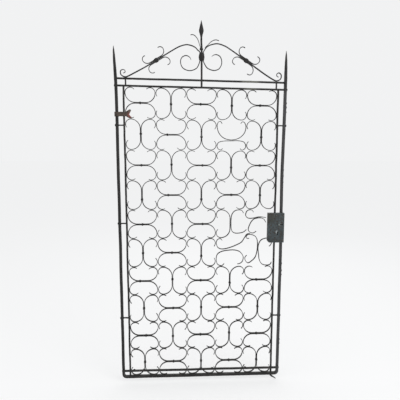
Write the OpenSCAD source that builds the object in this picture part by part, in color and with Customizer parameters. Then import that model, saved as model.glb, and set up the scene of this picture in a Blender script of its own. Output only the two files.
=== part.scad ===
// Wrought-iron garden gate leaf with a field of paired C-scrolls, a scrolled pediment,
// a fishtail wall anchor that turns on the left outer stile and a rim lock on the right.
// X runs across the gate, +Z is up and the front faces -Y. The origin is the middle of
// the bottom rail's underside, in the plane of the leaf.

/* [Scroll field] */
// Side of the square cell that holds one pair of C-scrolls
cell = 158; // [130:1:190]
// Thickness of the scroll strip, in the plane of the gate
strip_t = 4; // [2.5:0.1:5]
// Depth of the scroll strip, front to back
strip_d = 10; // [6:0.5:12]
// Outer radius of a scroll's end curl
curl_r = 28; // [20:1:32]
// How far the end curl hooks on past the quarter turn, in degrees
curl_hook = 42; // [10:1:60]
// Length of the collar that binds a pair of scrolls
collar_len = 9; // [6:0.5:14]
// Wall of that collar
collar_wall = 2.2; // [1.5:0.1:3]

/* [Frame] */
// Side of the square bar of the outer frame
outer_bar = 15; // [14:0.5:20]
// Side of the square bar of the inner stiles
inner_bar = 10; // [8:0.5:12]
// Clear space between an inner and an outer stile
stile_gap = 24.5; // [20:0.5:40]
// Height of the two top rails
top_rail_h = 9.5; // [8:0.5:12]
// Clear space between the two top rails
top_rail_gap = 26; // [20:1:40]
// Height of the cross rail laid over the front, near the foot
cross_rail_h = 12; // [8:0.5:16]
// Depth of that cross rail
cross_rail_d = 7; // [5:0.5:10]
// Height of the cross rail's middle above the foot
cross_rail_z = 48; // [40:1:70]
// Outer radius of the bends at the two bottom corners
corner_r = 24; // [20:1:35]
// Side of the square tie bars between the stiles
tie_bar = 8; // [6:0.5:9]
// Height of the lowest tie bar above the foot
low_tie_z = 358; // [300:1:420]
// How far the highest tie bar is below the lower top rail
high_tie_drop = 187.3; // [160:0.1:230]
// How far a riveted tenon end stands out of the outer stile
rivet_h = 4; // [2:0.5:5]
// Length of the pointed end of an outer stile, above the top rail
spike_len = 155; // [100:5:220]

/* [Pediment] */
// Side of the square centre shaft
shaft_bar = 10; // [6:0.5:14]
// Height of the spear's point above the upper top rail
spear_h = 290; // [250:5:350]
// Length of the spear head
spear_head_len = 90; // [60:1:110]
// Greatest width of the spear head
spear_head_w = 25; // [14:1:30]
// Thickness of the slope bars at the foot
slope_t = 7; // [5:0.5:9]
// Thickness of the slope bars at the end of the volute
volute_t = 4; // [3:0.5:5]
// Depth of the pediment bars, front to back
pediment_d = 8; // [6:0.5:10]
// Height of the ball-shaped collar on the shaft
ball_h = 42; // [30:1:50]

/* [Hinge anchor] */
// How far the anchor's middle is below the lower top rail
anchor_drop = 131.3; // [110:0.1:150]
// Height of the anchor's collar and strap
anchor_h = 24; // [16:1:26]
// Radial clearance of the collar on the round journal
journal_clear = 0.08; // [0.04:0.01:0.1]
// Wall of the collar
anchor_wall = 5; // [4:0.5:7]
// Reach of the anchor from the hinge axis to its fishtail
anchor_reach = 80; // [70:1:120]
// Spread of the fishtail's points
fishtail_w = 50; // [34:1:60]

/* [Lock] */
// Width of the lock case
lock_w = 88; // [84:1:110]
// Height of the lock case
lock_h = 160; // [140:1:180]
// Depth of the lock case, without its back plate
lock_d = 24; // [20:0.5:32]
// Sheet thickness of the case
case_wall = 2.5; // [2:0.1:3]
// Thickness of the back plate
plate_t = 3; // [2:0.1:4]
// Height of the lock's middle
lock_z = 865.5; // [800:0.5:930]
// Travel of both bolts
bolt_travel = 16; // [10:1:18]
// Height of the thumb-slide bolt bar
slide_bolt_h = 14; // [10:1:16]
// Height of the key-driven bolt bar
dead_bolt_h = 18; // [12:1:20]
// Clearance round a bolt in its slots
bolt_clear = 0.3; // [0.2:0.05:0.5]
// Radius of the shanks of the lock's screws
screw_r = 2.5; // [2:0.1:3]

/* [Hidden] */
$fn = 48;
// Gap between neighbouring scrolls where they are pinched together
touch = 0.15;
// Fit gap of bars in their holes and of collars on their bars
seat = 0.05;
// Steps between two control points of a bent strip
steps = 6;
// The field is five cells across and ten up, and each row is a node of its own.
columns = 5;
rows = 10;

field_w = columns * cell;
field_z0 = outer_bar + touch;
field_z1 = field_z0 + rows * cell;
inner_x = field_w / 2 + inner_bar / 2;
outer_x = field_w / 2 + inner_bar + stile_gap + outer_bar / 2;
outer_edge = outer_x + outer_bar / 2;
low_rail_z = field_z1 + touch;
high_rail_z = low_rail_z + top_rail_h + top_rail_gap;
high_rail_top = high_rail_z + top_rail_h;
spike_z0 = high_rail_top + 8;
arc_big = cell / 2 - 2 * touch - curl_r;
cross_rail_y = -outer_bar / 2 - cross_rail_d;
tie_hole = tie_bar + 2 * seat;
anchor_z = low_rail_z - anchor_drop;
tie_z = [low_tie_z, lock_z + 24.5, low_rail_z - high_tie_drop];
post_inset = 11;
journal_r = outer_bar / 2;
journal_h = anchor_h + 0.6;
collar_r = journal_r + journal_clear + anchor_wall;
ped_z = high_rail_top;
ball_z = ped_z + 113;
// The pediment's curves were drawn for inner stiles 400 mm out and follow their place.
// The right slope bar is a little steeper than the left one.
LEFT = 0;
RIGHT = 1;
ped_k = inner_x / 400;
slope_low = [300 * ped_k, 50];
slope_mid = [[231 * ped_k, 93], [229 * ped_k, 96.3]];
slope_high = [[136 * ped_k, 150], [136 * ped_k, 157]];
cluster_t = 4;
ball_r = shaft_bar / 2 + slope_t + 3.3;
ring_h = 8;
ring_z = ball_z + ball_h / 2 + 16;
leaf_t = 2.6;
leaf_x = shaft_bar / 2 + 2 * seat + leaf_t / 2;
lock_x1 = outer_edge;
lock_x0 = lock_x1 - lock_w;
lock_z0 = lock_z - lock_h / 2;
plate_y = -outer_bar / 2 - plate_t;
case_y = plate_y - lock_d;
slide_z = lock_z + 18.5;
dead_z = lock_z - 3.5;
key_z = lock_z - 22.5;
key_x = lock_x1 - 34.5;
knob_x = lock_x1 - 28.5;
guide_x = lock_x0 + 30;
bolt_y = plate_y - 11;
bolt_d = 10;
screw_rows = [lock_z0 + 12, lock_z0 + lock_h - 12];
screw_head_h = 3;

// Cells whose scrolls have been knocked out of shape, as [column, row].
bent_cells = [[4, 2], [4, 5], [5, 5], [4, 6], [5, 6]];
function is_bent(c, r) = len([for (b = bent_cells) if (b[0] == c && b[1] == r) 1]) > 0;
function cell_x(c) = (c - (columns + 1) / 2) * cell;
function cell_z(r) = field_z0 + (rows - r + 0.5) * cell;
// A pair lies across when column and row add to an even number, otherwise it stands.
function lies_across(c, r) = (c + r) % 2 == 0;

// Smooth curve through chosen points.
function mix(a, b, c, d, t) = 0.5 * (2 * b + (c - a) * t + (2 * a - 5 * b + 4 * c - d) * t * t
    + (3 * b - a - 3 * c + d) * t * t * t);
function smooth(p) = [
    for (i = [0:len(p) - 2], k = [0:steps - 1])
        mix(p[max(i - 1, 0)], p[i], p[i + 1], p[min(i + 2, len(p) - 1)], k / steps),
    p[len(p) - 1]
];
function side_of(q, i) =
    let (d = q[min(i + 1, len(q) - 1)] - q[max(i - 1, 0)])
    [-d[1], d[0]] / norm(d);

// Square or flat bars, given by their corners.
module block(x0, x1, y0, y1, z0, z1) {
    translate([x0, y0, z0]) cube([x1 - x0, y1 - y0, z1 - z0]);
}
module upright(x, side, z0, z1) {
    block(x - side / 2, x + side / 2, -side / 2, side / 2, z0, z1);
}
// Stands a flat outline, drawn in X and Z, up in the gate and gives it depth.
module stand(depth) {
    rotate([90, 0, 0]) translate([0, 0, -depth / 2]) linear_extrude(depth) children();
}
// Round bar or hole along Y from y0 to y1.
module rod_y(x, z, r, y0, y1) {
    translate([x, y1, z]) rotate([90, 0, 0]) cylinder(r = r, h = y1 - y0);
}
// Strip of iron bent along a smooth curve, drawn out from one thickness to another.
module strip(points, t0, t1, depth) {
    q = smooth(points);
    n = len(q) - 1;
    half = [for (i = [0:n]) (t0 + (t1 - t0) * i / n) / 2];
    left = [for (i = [0:n]) q[i] + side_of(q, i) * half[i]];
    right = [for (i = [n:-1:0]) q[i] - side_of(q, i) * half[i]];
    stand(depth) polygon(concat(left, right));
}
// Strip bent to a round arc of outer radius r, from angle a0 through a degrees.
module arc_strip(r, t, depth, a0, a) {
    rotate([0, 0, a0]) rotate_extrude(angle = a)
        translate([r - t, -depth / 2]) square([t, depth]);
}
// C-scroll lying with the outside of its back on Y = 0 and opening towards +Y.
module c_scroll(half_back, big_r, end_r, hook, t, depth) {
    translate([-half_back, 0, -depth / 2]) cube([2 * half_back, t, depth]);
    for (s = [0, 1]) mirror([s, 0, 0]) {
        translate([half_back, big_r, 0]) arc_strip(big_r, t, depth, -90, 90);
        translate([half_back + big_r - end_r, big_r, 0])
            arc_strip(end_r, t, depth, 0, 90 + hook);
    }
}
module field_scroll() {
    rotate([90, 0, 0]) c_scroll(curl_r, arc_big, curl_r, curl_hook, strip_t, strip_d);
}
// Both halves of a pair, back to back about the middle of their cell.
module half_pair(c, r, turn) {
    translate([cell_x(c), 0, cell_z(r)]) rotate([0, turn, 0])
        translate([0, 0, touch]) field_scroll();
}
module scroll_row(r) {
    color("#33312f")
    for (c = [1:columns]) if (!is_bent(c, r)) {
        half_pair(c, r, lies_across(c, r) ? 0 : 90);
        half_pair(c, r, lies_across(c, r) ? 180 : 270);
    }
}
// Collar round two strips that lie back to back along X.
module pair_collar() {
    inner_h = 2 * strip_t + 2 * touch + 2 * seat;
    inner_d = strip_d + 2 * seat;
    difference() {
        cube([collar_len, inner_d + 2 * collar_wall, inner_h + 2 * collar_wall],
            center = true);
        cube([collar_len + 1, inner_d, inner_h], center = true);
    }
}
// How far each collar has slid to the right or up along its pair, by row and column, as a
// share of the free length of the pair's straight backs.
slips = [
    [0, -0.13, -0.2, -0.17, -0.38],
    [0.13, -0.85, -0.38, 0, -0.3],
    [0, 0.17, 0.25, -0.47, -0.2],
    [-0.98, -0.77, -1, 0.13, -0.13],
    [0, 0.1, 0.3, 0, 0],
    [0, -0.05, -0.85, 0, 0],
    [-0.8, 0.35, -0.13, -0.68, -0.4],
    [0.05, 0.13, 0.1, -0.13, 0.05],
    [0.38, -0.3, -0.17, 0.3, -0.13],
    [0, 0.1, 0, 0, -0.05]
];
function slip(c, r) = slips[r - 1][c - 1] * (curl_r - collar_len / 2);
module scroll_collars() {
    color("#2a2826")
    for (r = [1:rows], c = [1:columns]) if (!is_bent(c, r))
        translate([cell_x(c), 0, cell_z(r)])
            rotate([0, lies_across(c, r) ? 0 : 90, 0])
                translate([lies_across(c, r) ? slip(c, r) : -slip(c, r), 0, 0])
                    pair_collar();
}

// Bent scrolls: their points are measured from the middle of their own cell, drawn for
// a cell of this size.
bent_cell = 158;
module in_cell(c, r) {
    translate([cell_x(c), 0, cell_z(r)]) children();
}
module bent_strip(points) {
    strip(points * cell / bent_cell, strip_t, strip_t, strip_d);
}
module bent_scrolls_row_2() {
    color("#33312f") in_cell(4, 2) {
        bent_strip([[-50, 60], [-58, 72], [-70, 68], [-76, 46], [-66, 12], [-40, -14],
            [0, -23], [40, -13], [68, 14], [76, 46], [68, 68], [56, 72], [48, 62]]);
        bent_strip([[-46, -68], [-56, -76], [-70, -70], [-76, -54], [-66, -36], [-36, -29],
            [0, -28], [36, -27], [66, -34], [76, -54], [70, -70], [56, -76], [46, -68]]);
    }
}
module bent_scroll_row_5_left() {
    color("#33312f") in_cell(4, 5)
        rotate([0, 270, 0]) translate([0, 0, touch]) field_scroll();
}
module bent_scrolls_row_5_right() {
    color("#33312f") {
        in_cell(4, 5) bent_strip([[70, 58], [62, 72], [46, 76], [22, 70], [6, 46], [3, 0],
            [6, -34], [21, -50], [46, -52], [72, -46], [88, -32]]);
        in_cell(5, 5) bent_strip([[-33, 62], [-40, 73], [-54, 76], [-68, 70], [-76, 50],
            [-68, 34], [-52, 29], [-30, 31], [0, 37], [36, 33]]);
        in_cell(5, 5) bent_strip([[-16, -42], [-32, -52], [-50, -48], [-60, -32],
            [-50, 0], [-34, 22], [-16, 29], [6, 31], [24, 24], [36, 6]]);
    }
}
module bent_scrolls_row_6_left() {
    color("#33312f") in_cell(4, 6) {
        bent_strip([[-44, 66], [-54, 76], [-70, 70], [-76, 50], [-66, 26], [-42, 18],
            [-5, 25], [34, 40], [62, 56], [78, 80], [90, 99], [108, 104]]);
        bent_strip([[-32, -64], [-46, -76], [-68, -68], [-76, -40], [-70, -12], [-46, 4],
            [-6, 11], [26, 11], [54, 1], [72, -24], [70, -50], [56, -64], [40, -68]]);
    }
}
module bent_scrolls_row_6_right() {
    color("#33312f") in_cell(5, 6) {
        bent_strip([[-54, 76], [-66, 76], [-71, 84], [-62, 96], [-42, 97], [-20, 86],
            [-9, 62], [-8, 24], [-12, -8], [-22, -34], [-40, -52], [-58, -62], [-72, -50],
            [-76, -32], [-66, -18]]);
        bent_strip([[56, 30], [66, 40], [70, 58], [56, 74], [36, 76], [12, 66], [0, 46],
            [-4, 20], [0, -16], [4, -44], [18, -68], [42, -76], [64, -72], [72, -58]]);
    }
}

// Outer frame. The left stile is forged round where the hinge anchor grips it.
module spike(x) {
    h = spike_len - (spike_z0 - high_rail_top);
    r = outer_bar / 2;
    upright(x, outer_bar, high_rail_top, spike_z0);
    translate([x, 0, spike_z0]) rotate_extrude()
        polygon([[0, 0], [r, 0], [r * 0.97, h * 0.4], [r * 0.84, h * 0.66],
            [r * 0.56, h * 0.86], [1.2, h], [0, h]]);
}
module tie_holes(side) {
    for (z = tie_z)
        block(side * outer_x - outer_bar, side * outer_x + outer_bar,
            -tie_hole / 2, tie_hole / 2, z - tie_hole / 2, z + tie_hole / 2);
    block(side * outer_x - outer_bar, side * outer_x + outer_bar, -tie_hole / 2,
        tie_hole / 2, low_rail_z + top_rail_h / 2 - tie_hole / 2,
        low_rail_z + top_rail_h / 2 + tie_hole / 2);
}
module outer_stile_left() {
    color("#2f2e2c")
    difference() {
        union() {
            upright(-outer_x, outer_bar, corner_r, anchor_z - journal_h / 2);
            translate([-outer_x, 0, anchor_z - journal_h / 2])
                cylinder(r = journal_r, h = journal_h);
            upright(-outer_x, outer_bar, anchor_z + journal_h / 2, high_rail_top);
            spike(-outer_x);
        }
        tie_holes(-1);
        rod_y(-outer_x, cross_rail_z, screw_r + seat, -outer_bar, 0);
    }
}
module outer_stile_right() {
    color("#4a4a49")
    difference() {
        union() {
            upright(outer_x, outer_bar, corner_r, high_rail_top);
            spike(outer_x);
        }
        tie_holes(1);
        rod_y(outer_x, cross_rail_z, screw_r + seat, -outer_bar, 0);
        for (z = screw_rows) rod_y(outer_x, z, screw_r + seat, -outer_bar, 2);
    }
}
// Bottom rail with both ends bent up to meet the outer stiles.
module bottom_rail() {
    bend_x = outer_edge - corner_r;
    color("#2c2b29") {
        block(-bend_x, bend_x, -outer_bar / 2, outer_bar / 2, 0, outer_bar);
        for (s = [0, 1]) mirror([s, 0, 0])
            translate([bend_x, 0, corner_r]) rotate([90, 0, 0])
                arc_strip(corner_r, outer_bar, outer_bar, -90, 90);
    }
}
module inner_stile(side) {
    difference() {
        upright(side * inner_x, inner_bar, outer_bar, low_rail_z);
        for (z = tie_z)
            block(side * inner_x - inner_bar, side * inner_x + inner_bar, -tie_bar / 4 - seat,
                tie_bar / 4 + seat, z - tie_bar / 4 - seat, z + tie_bar / 4 + seat);
        if (side > 0)
            for (z = screw_rows) rod_y(inner_x, z, screw_r + seat, -inner_bar, 2);
    }
}
module inner_stile_left() {
    color("#2f2e2c") inner_stile(-1);
}
module inner_stile_right() {
    color("#333231") inner_stile(1);
}
// Upset head of a tenon that is riveted over on the outside of a stile.
module tenon_head(side) {
    translate([side * outer_edge, 0, 0]) rotate([0, side * 90, 0])
        cylinder(r1 = tie_bar / 2 + 3, r2 = tie_bar / 2 + 1, h = rivet_h);
}
module tie_bars(side) {
    stub = inner_bar;
    for (z = tie_z) translate([0, 0, z]) {
        mid = side * (inner_x + inner_bar / 2);
        block(min(mid, side * outer_edge), max(mid, side * outer_edge), -tie_bar / 2,
            tie_bar / 2, -tie_bar / 2, tie_bar / 2);
        block(min(mid, mid - side * stub), max(mid, mid - side * stub), -tie_bar / 4,
            tie_bar / 4, -tie_bar / 4, tie_bar / 4);
        tenon_head(side);
    }
}
module tie_bars_left() {
    color("#2a2927") tie_bars(-1);
}
module tie_bars_right() {
    color("#2a2927") tie_bars(1);
}
// Rail under the pediment. Its tenons pass through the outer stiles.
module top_rail_lower() {
    rail_x = outer_x - outer_bar / 2;
    color("#2f2e2c") {
        difference() {
            block(-rail_x, rail_x, -inner_bar / 2, inner_bar / 2, low_rail_z,
                low_rail_z + top_rail_h);
            upright(0, shaft_bar + 2 * seat, low_rail_z - 1, low_rail_z + top_rail_h + 1);
        }
        for (side = [-1, 1]) translate([0, 0, low_rail_z + top_rail_h / 2]) {
            block(min(side * rail_x, side * outer_edge), max(side * rail_x, side * outer_edge),
                -tie_bar / 2, tie_bar / 2, -tie_bar / 2, tie_bar / 2);
            tenon_head(side);
        }
    }
}
module top_rail_upper() {
    rail_x = outer_x - outer_bar / 2;
    color("#2f2e2c")
    difference() {
        block(-rail_x, rail_x, -inner_bar / 2, inner_bar / 2, high_rail_z, high_rail_top);
        upright(0, shaft_bar + 2 * seat, high_rail_z - 1, high_rail_top + 1);
    }
}
module cross_rail() {
    color("#242322")
    difference() {
        block(-outer_edge, outer_edge, cross_rail_y, -outer_bar / 2,
            cross_rail_z - cross_rail_h / 2, cross_rail_z + cross_rail_h / 2);
        for (side = [-1, 1])
            rod_y(side * outer_x, cross_rail_z, screw_r + seat, cross_rail_y - 1, 0);
    }
}
module cross_rail_rivets() {
    head_h = 2.5;
    color("#1f1e1d")
    for (side = [-1, 1]) {
        rod_y(side * outer_x, cross_rail_z, screw_r, cross_rail_y, -0.5);
        translate([side * outer_x, cross_rail_y, cross_rail_z]) rotate([90, 0, 0])
            cylinder(r1 = screw_r + 2.5, r2 = screw_r, h = head_h);
    }
}
module post(side) {
    upright(side * (inner_x - post_inset), tie_bar, low_rail_z + top_rail_h, high_rail_z);
}
module post_left() {
    color("#2a2927") post(-1);
}
module post_right() {
    color("#2a2927") post(1);
}
// Drawn-out spur that hangs below the right end of the bottom rail.
module foot_spur() {
    color("#262524")
    translate([inner_x, 0, 0]) stand(tie_bar)
        polygon([[-12, 0], [9, 0], [12, -6], [34, -26], [31, -29], [4, -12]]);
}

// Pediment. Its outlines start from the top of the upper rail and mirror about the shaft.
module centre_shaft() {
    head_z = high_rail_top + spear_h - spear_head_len;
    color("#2b2a29") {
        upright(0, shaft_bar, low_rail_z, head_z + 1);
        translate([0, 0, head_z]) rotate_extrude()
            polygon([[0, 0], [shaft_bar / 2, 0], [shaft_bar / 2 - 0.5, 6],
                [spear_head_w / 2 - 2, 28], [spear_head_w / 2, spear_head_len * 0.45],
                [spear_head_w / 2 - 3, spear_head_len * 0.66], [1, spear_head_len],
                [0, spear_head_len]]);
    }
}
module ball_collar() {
    half = ball_h / 2;
    hole_w = shaft_bar + 2 * slope_t + 4 * touch + 2 * seat;
    color("#232221")
    translate([0, 0, ball_z]) difference() {
        rotate_extrude() polygon([[0, -half], [ball_r - 2, -half], [ball_r, -half + 8],
            [ball_r + 1, 0], [ball_r, half - 8], [ball_r - 2, half], [0, half]]);
        cube([hole_w, pediment_d + 2 * seat, ball_h + 2], center = true);
        upright(0, shaft_bar + 2 * seat, -half - 1, half + 1);
    }
}
// Small ring that binds the left leaf curl to the shaft.
module shaft_ring() {
    left = shaft_bar / 2 + leaf_t + 7 * seat;
    right = shaft_bar / 2 + seat;
    half = shaft_bar / 2 + seat;
    color("#232221")
    translate([0, 0, ring_z]) difference() {
        block(-left - collar_wall, right + collar_wall, -half - collar_wall,
            half + collar_wall, -ring_h / 2, ring_h / 2);
        block(-left, right, -half, half, -ring_h, ring_h);
    }
}
// Path of one slope bar, from its foot curl over its crest and through the ball collar
// to the end of its volute.
function across(points) = [for (p = points) [p[0] * ped_k, p[1]]];
foot = [[400, 22], [390.5, 27], [391, 37.5], [402.5, 41.5], [413, 32], [410.5, 14],
    [394, slope_t / 2 + 0.5], [372, 9]];
crest = [
    [[104, 165], [78, 171], [62, 169.5], [46, 165], [31, 157], [20, 145]],
    [[112, 169], [96, 174.5], [76, 177.5], [52, 173], [34, 166], [22, 156]]
];
volute = [
    [[26, 56], [62, 43], [96, 56], [108, 87], [99, 110], [78, 118], [60, 109], [54, 96]],
    [[24, 63], [40, 52], [64, 46.5], [88, 54], [102, 76], [102, 98], [93, 116], [76, 124],
        [62, 122], [51, 114]]
];
bound = shaft_bar / 2 + touch + slope_t / 2;
in_ball = ball_z - ped_z;
held = [[bound + 1, in_ball + 24], [bound, in_ball + 8], [bound, in_ball - 8],
    [bound + 1, in_ball - 24]];
function slope_points(side) = concat(across(foot),
    [slope_low, slope_mid[side], slope_high[side]], across(crest[side]), held,
    across(volute[side]));
module slope_bar(side) {
    translate([0, 0, ped_z])
        strip(slope_points(side), slope_t, volute_t, pediment_d);
}
module slope_bar_left() {
    color("#302f2e") mirror([1, 0, 0]) slope_bar(LEFT);
}
module slope_bar_right() {
    color("#302f2e") slope_bar(RIGHT);
}
// Pairs of scrolls bound back to back on each slope bar.
module on_slope(side) {
    rise = slope_high[side] - slope_low;
    translate([slope_mid[side][0], 0, ped_z + slope_mid[side][1]])
        rotate([0, atan2(rise[1], -rise[0]), 0]) children();
}
module cluster_scroll(side, turn) {
    on_slope(side) rotate([0, turn, 0]) translate([0, 0, slope_t / 2 + 0.6])
        rotate([90, 0, 0]) c_scroll(34, 28, 19, 14, cluster_t, pediment_d);
}
module cluster_collar(side) {
    inner_h = slope_t + 2 * cluster_t + 1.4;
    on_slope(side) difference() {
        cube([18, pediment_d + 5, inner_h + 5], center = true);
        cube([20, pediment_d + 2 * seat, inner_h], center = true);
    }
}
module cluster_scroll_left_upper() {
    color("#2b2a29") mirror([1, 0, 0]) cluster_scroll(LEFT, 0);
}
module cluster_scroll_left_lower() {
    color("#2b2a29") mirror([1, 0, 0]) cluster_scroll(LEFT, 180);
}
module cluster_scroll_right_upper() {
    color("#2b2a29") cluster_scroll(RIGHT, 0);
}
module cluster_scroll_right_lower() {
    color("#2b2a29") cluster_scroll(RIGHT, 180);
}
module cluster_collar_left() {
    color("#1f1e1d") mirror([1, 0, 0]) cluster_collar(LEFT);
}
module cluster_collar_right() {
    color("#1f1e1d") cluster_collar(RIGHT);
}
// Thin curls: the left one is bound to the shaft by the ring, and the right one lies on
// the back of the right slope bar and leaves it below the crest.
module leaf_curl_left() {
    z = ring_z - ped_z;
    color("#343332") translate([0, 0, ped_z])
        strip([[-leaf_x - 0.1, z - 6], [-leaf_x - 0.1, z + 5], [-leaf_x - 1.4, z + 12],
            [-11, z + 22], [-14, z + 32], [-18, z + 43], [-24, z + 54], [-33, z + 64],
            [-45, z + 70], [-57, z + 69]],
            leaf_t, leaf_t + 1, pediment_d - 2);
}
module leaf_curl_right() {
    path = smooth(slope_points(RIGHT));
    last = (len(foot) + 3 + len(crest[RIGHT]) - 1) * steps;
    bar_t = slope_t + (volute_t - slope_t) * last / len(path);
    gap = bar_t / 2 + 4 * touch + leaf_t / 2;
    root = [for (i = [last + 1:-3:last - 5]) path[i] - side_of(path, i) * gap];
    color("#343332") translate([0, 0, ped_z])
        strip(concat(root, [[46, 185], [61, 194], [75, 196], [88, 192]]),
            leaf_t, leaf_t + 1, pediment_d - 2);
}

// Wall anchor: a collar on the left stile's journal, a strap and a split fishtail.
module hinge_anchor() {
    strap_t = anchor_wall;
    half = anchor_h / 2;
    split = fishtail_w / 2;
    color("#4b4540")
    translate([-outer_x, 0, anchor_z]) difference() {
        union() {
            translate([0, 0, -half]) cylinder(r = collar_r, h = anchor_h);
            translate([0, -collar_r + strap_t / 2, 0]) stand(strap_t)
                polygon([[0, -half], [anchor_reach - 32, -half], [anchor_reach - 8, -split + 4],
                    [anchor_reach, -split], [anchor_reach - 1, -split + 8],
                    [anchor_reach - 16, -1], [anchor_reach - 4, split - 6],
                    [anchor_reach - 9, split], [anchor_reach - 16, split - 1],
                    [anchor_reach - 34, half], [0, half]]);
        }
        translate([0, 0, -half - 1])
            cylinder(r = journal_r + journal_clear, h = anchor_h + 2);
    }
}

// Rim lock on the front of the right stiles.
module lock_plan(x0, x1, z0, z1, r) {
    difference() {
        translate([x0, z0]) square([x1 - x0, z1 - z0]);
        difference() {
            translate([x0 - 1, z0 - 1]) square(r + 1);
            translate([x0 + r, z0 + r]) circle(r = r);
        }
    }
}
module lock_block(y0, y1, inset) {
    translate([0, (y0 + y1) / 2, 0]) stand(y1 - y0)
        lock_plan(lock_x0 + inset, lock_x1 - inset, lock_z0 + inset,
            lock_z0 + lock_h - inset, 12 - inset);
}
module keyhole(y0, y1) {
    rod_y(key_x, key_z, 4.5, y0, y1);
    block(key_x - 2.5, key_x + 2.5, y0, y1, key_z - 15, key_z);
}
module screw_holes(y0, y1) {
    for (z = screw_rows, x = [inner_x, outer_x]) rod_y(x, z, screw_r + 0.3, y0, y1);
}
module bolt_slot(z, h, x0, x1) {
    block(x0, x1, bolt_y - bolt_clear, bolt_y + bolt_d + bolt_clear,
        z - h / 2 - bolt_clear, z + h / 2 + bolt_clear);
}
module lock_back_plate() {
    color("#3d474b")
    difference() {
        lock_block(plate_y, -outer_bar / 2, 0);
        screw_holes(plate_y - 1, 0);
        keyhole(plate_y - 1, 0);
    }
}
module lock_case() {
    slot_h = 7.6;
    color("#49565b")
    difference() {
        lock_block(case_y, plate_y, 0);
        lock_block(case_y + case_wall, plate_y + 1, case_wall);
        screw_holes(case_y - 1, plate_y);
        keyhole(case_y - 1, case_y + case_wall + 1);
        block(knob_x - 4.3, knob_x + bolt_travel + 4.3, case_y - 1, case_y + case_wall + 1,
            slide_z - slot_h / 2, slide_z + slot_h / 2);
        bolt_slot(slide_z, slide_bolt_h, lock_x1 - case_wall - 1, lock_x1 + 1);
        bolt_slot(dead_z, dead_bolt_h, lock_x1 - case_wall - 1, lock_x1 + 1);
    }
}
// Upright post inside the case that both bolts pass through.
module bolt_guide() {
    color("#6b6a66")
    difference() {
        block(guide_x, guide_x + 3, case_y + case_wall + 0.5, plate_y,
            dead_z - dead_bolt_h / 2 - 8, slide_z + slide_bolt_h / 2 + 8);
        bolt_slot(slide_z, slide_bolt_h, guide_x - 1, guide_x + 4);
        bolt_slot(dead_z, dead_bolt_h, guide_x - 1, guide_x + 4);
    }
}
// Leaf springs on the guide, which press on the bolts and hold them where they are set.
module bolt_springs() {
    x = guide_x + 3;
    color("#8a8984")
    for (top = [slide_z + slide_bolt_h / 2, dead_z + dead_bolt_h / 2])
        translate([0, bolt_y + bolt_d / 2, top])
            strip([[x, 4.2], [x + 12, 2.2], [x + 26, 0.9], [x + 38, 2.4]], 0.8, 0.8,
                bolt_d - 2);
}
module slide_bolt() {
    color("#7d7b76")
    difference() {
        block(lock_x0 + 10, lock_x1 + 1, bolt_y, bolt_y + bolt_d,
            slide_z - slide_bolt_h / 2, slide_z + slide_bolt_h / 2);
        rod_y(knob_x, slide_z, 2.5 + seat, bolt_y - 1, bolt_y + 5);
    }
}
module slide_knob() {
    color("#9aa0a0") {
        rod_y(knob_x, slide_z, 2.5, bolt_y, bolt_y + 5);
        rod_y(knob_x, slide_z, 3.5, case_y - 1, bolt_y);
        rod_y(knob_x, slide_z, 6, case_y - 6, case_y - 1);
    }
}
module dead_bolt() {
    talon_h = 6;
    color("#7d7b76")
    difference() {
        block(lock_x0 + 12, lock_x1, bolt_y, bolt_y + bolt_d, dead_z - dead_bolt_h / 2,
            dead_z + dead_bolt_h / 2);
        block(key_x - 6, key_x + 6, bolt_y - 1, bolt_y + bolt_d + 1,
            dead_z - dead_bolt_h / 2 - 1, dead_z - dead_bolt_h / 2 + talon_h);
    }
}
module lock_screws() {
    color("#5d5c58")
    for (z = screw_rows, x = [inner_x, outer_x]) {
        rod_y(x, z, screw_r, case_y, 1);
        rod_y(x, z, screw_r + 2.5, case_y - screw_head_h, case_y);
    }
}
module lock_spacers() {
    color("#5d5c58")
    for (z = screw_rows) difference() {
        rod_y(inner_x, z, 6, -outer_bar / 2, -inner_bar / 2);
        rod_y(inner_x, z, screw_r + seat, -outer_bar, 0);
    }
}

outer_stile_left();
outer_stile_right();
bottom_rail();
inner_stile_left();
inner_stile_right();
top_rail_lower();
top_rail_upper();
cross_rail();
cross_rail_rivets();
tie_bars_left();
tie_bars_right();
post_left();
post_right();
foot_spur();
centre_shaft();
ball_collar();
shaft_ring();
slope_bar_left();
slope_bar_right();
cluster_scroll_left_upper();
cluster_scroll_left_lower();
cluster_scroll_right_upper();
cluster_scroll_right_lower();
cluster_collar_left();
cluster_collar_right();
leaf_curl_left();
leaf_curl_right();
for (r = [1:rows]) scroll_row(r);
scroll_collars();
bent_scrolls_row_2();
bent_scroll_row_5_left();
bent_scrolls_row_5_right();
bent_scrolls_row_6_left();
bent_scrolls_row_6_right();
hinge_anchor();
lock_back_plate();
lock_case();
bolt_guide();
bolt_springs();
slide_bolt();
slide_knob();
dead_bolt();
lock_screws();
lock_spacers();
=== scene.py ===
"""Looks of the wrought-iron garden gate: forged bars, scrolls, wall anchor and rim lock.

Metres, in the part's own frame: X across the gate, Z up, front towards -Y.
"""

import math

import bmesh
import bpy
import numpy as np
from mathutils import Matrix, Vector


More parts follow.
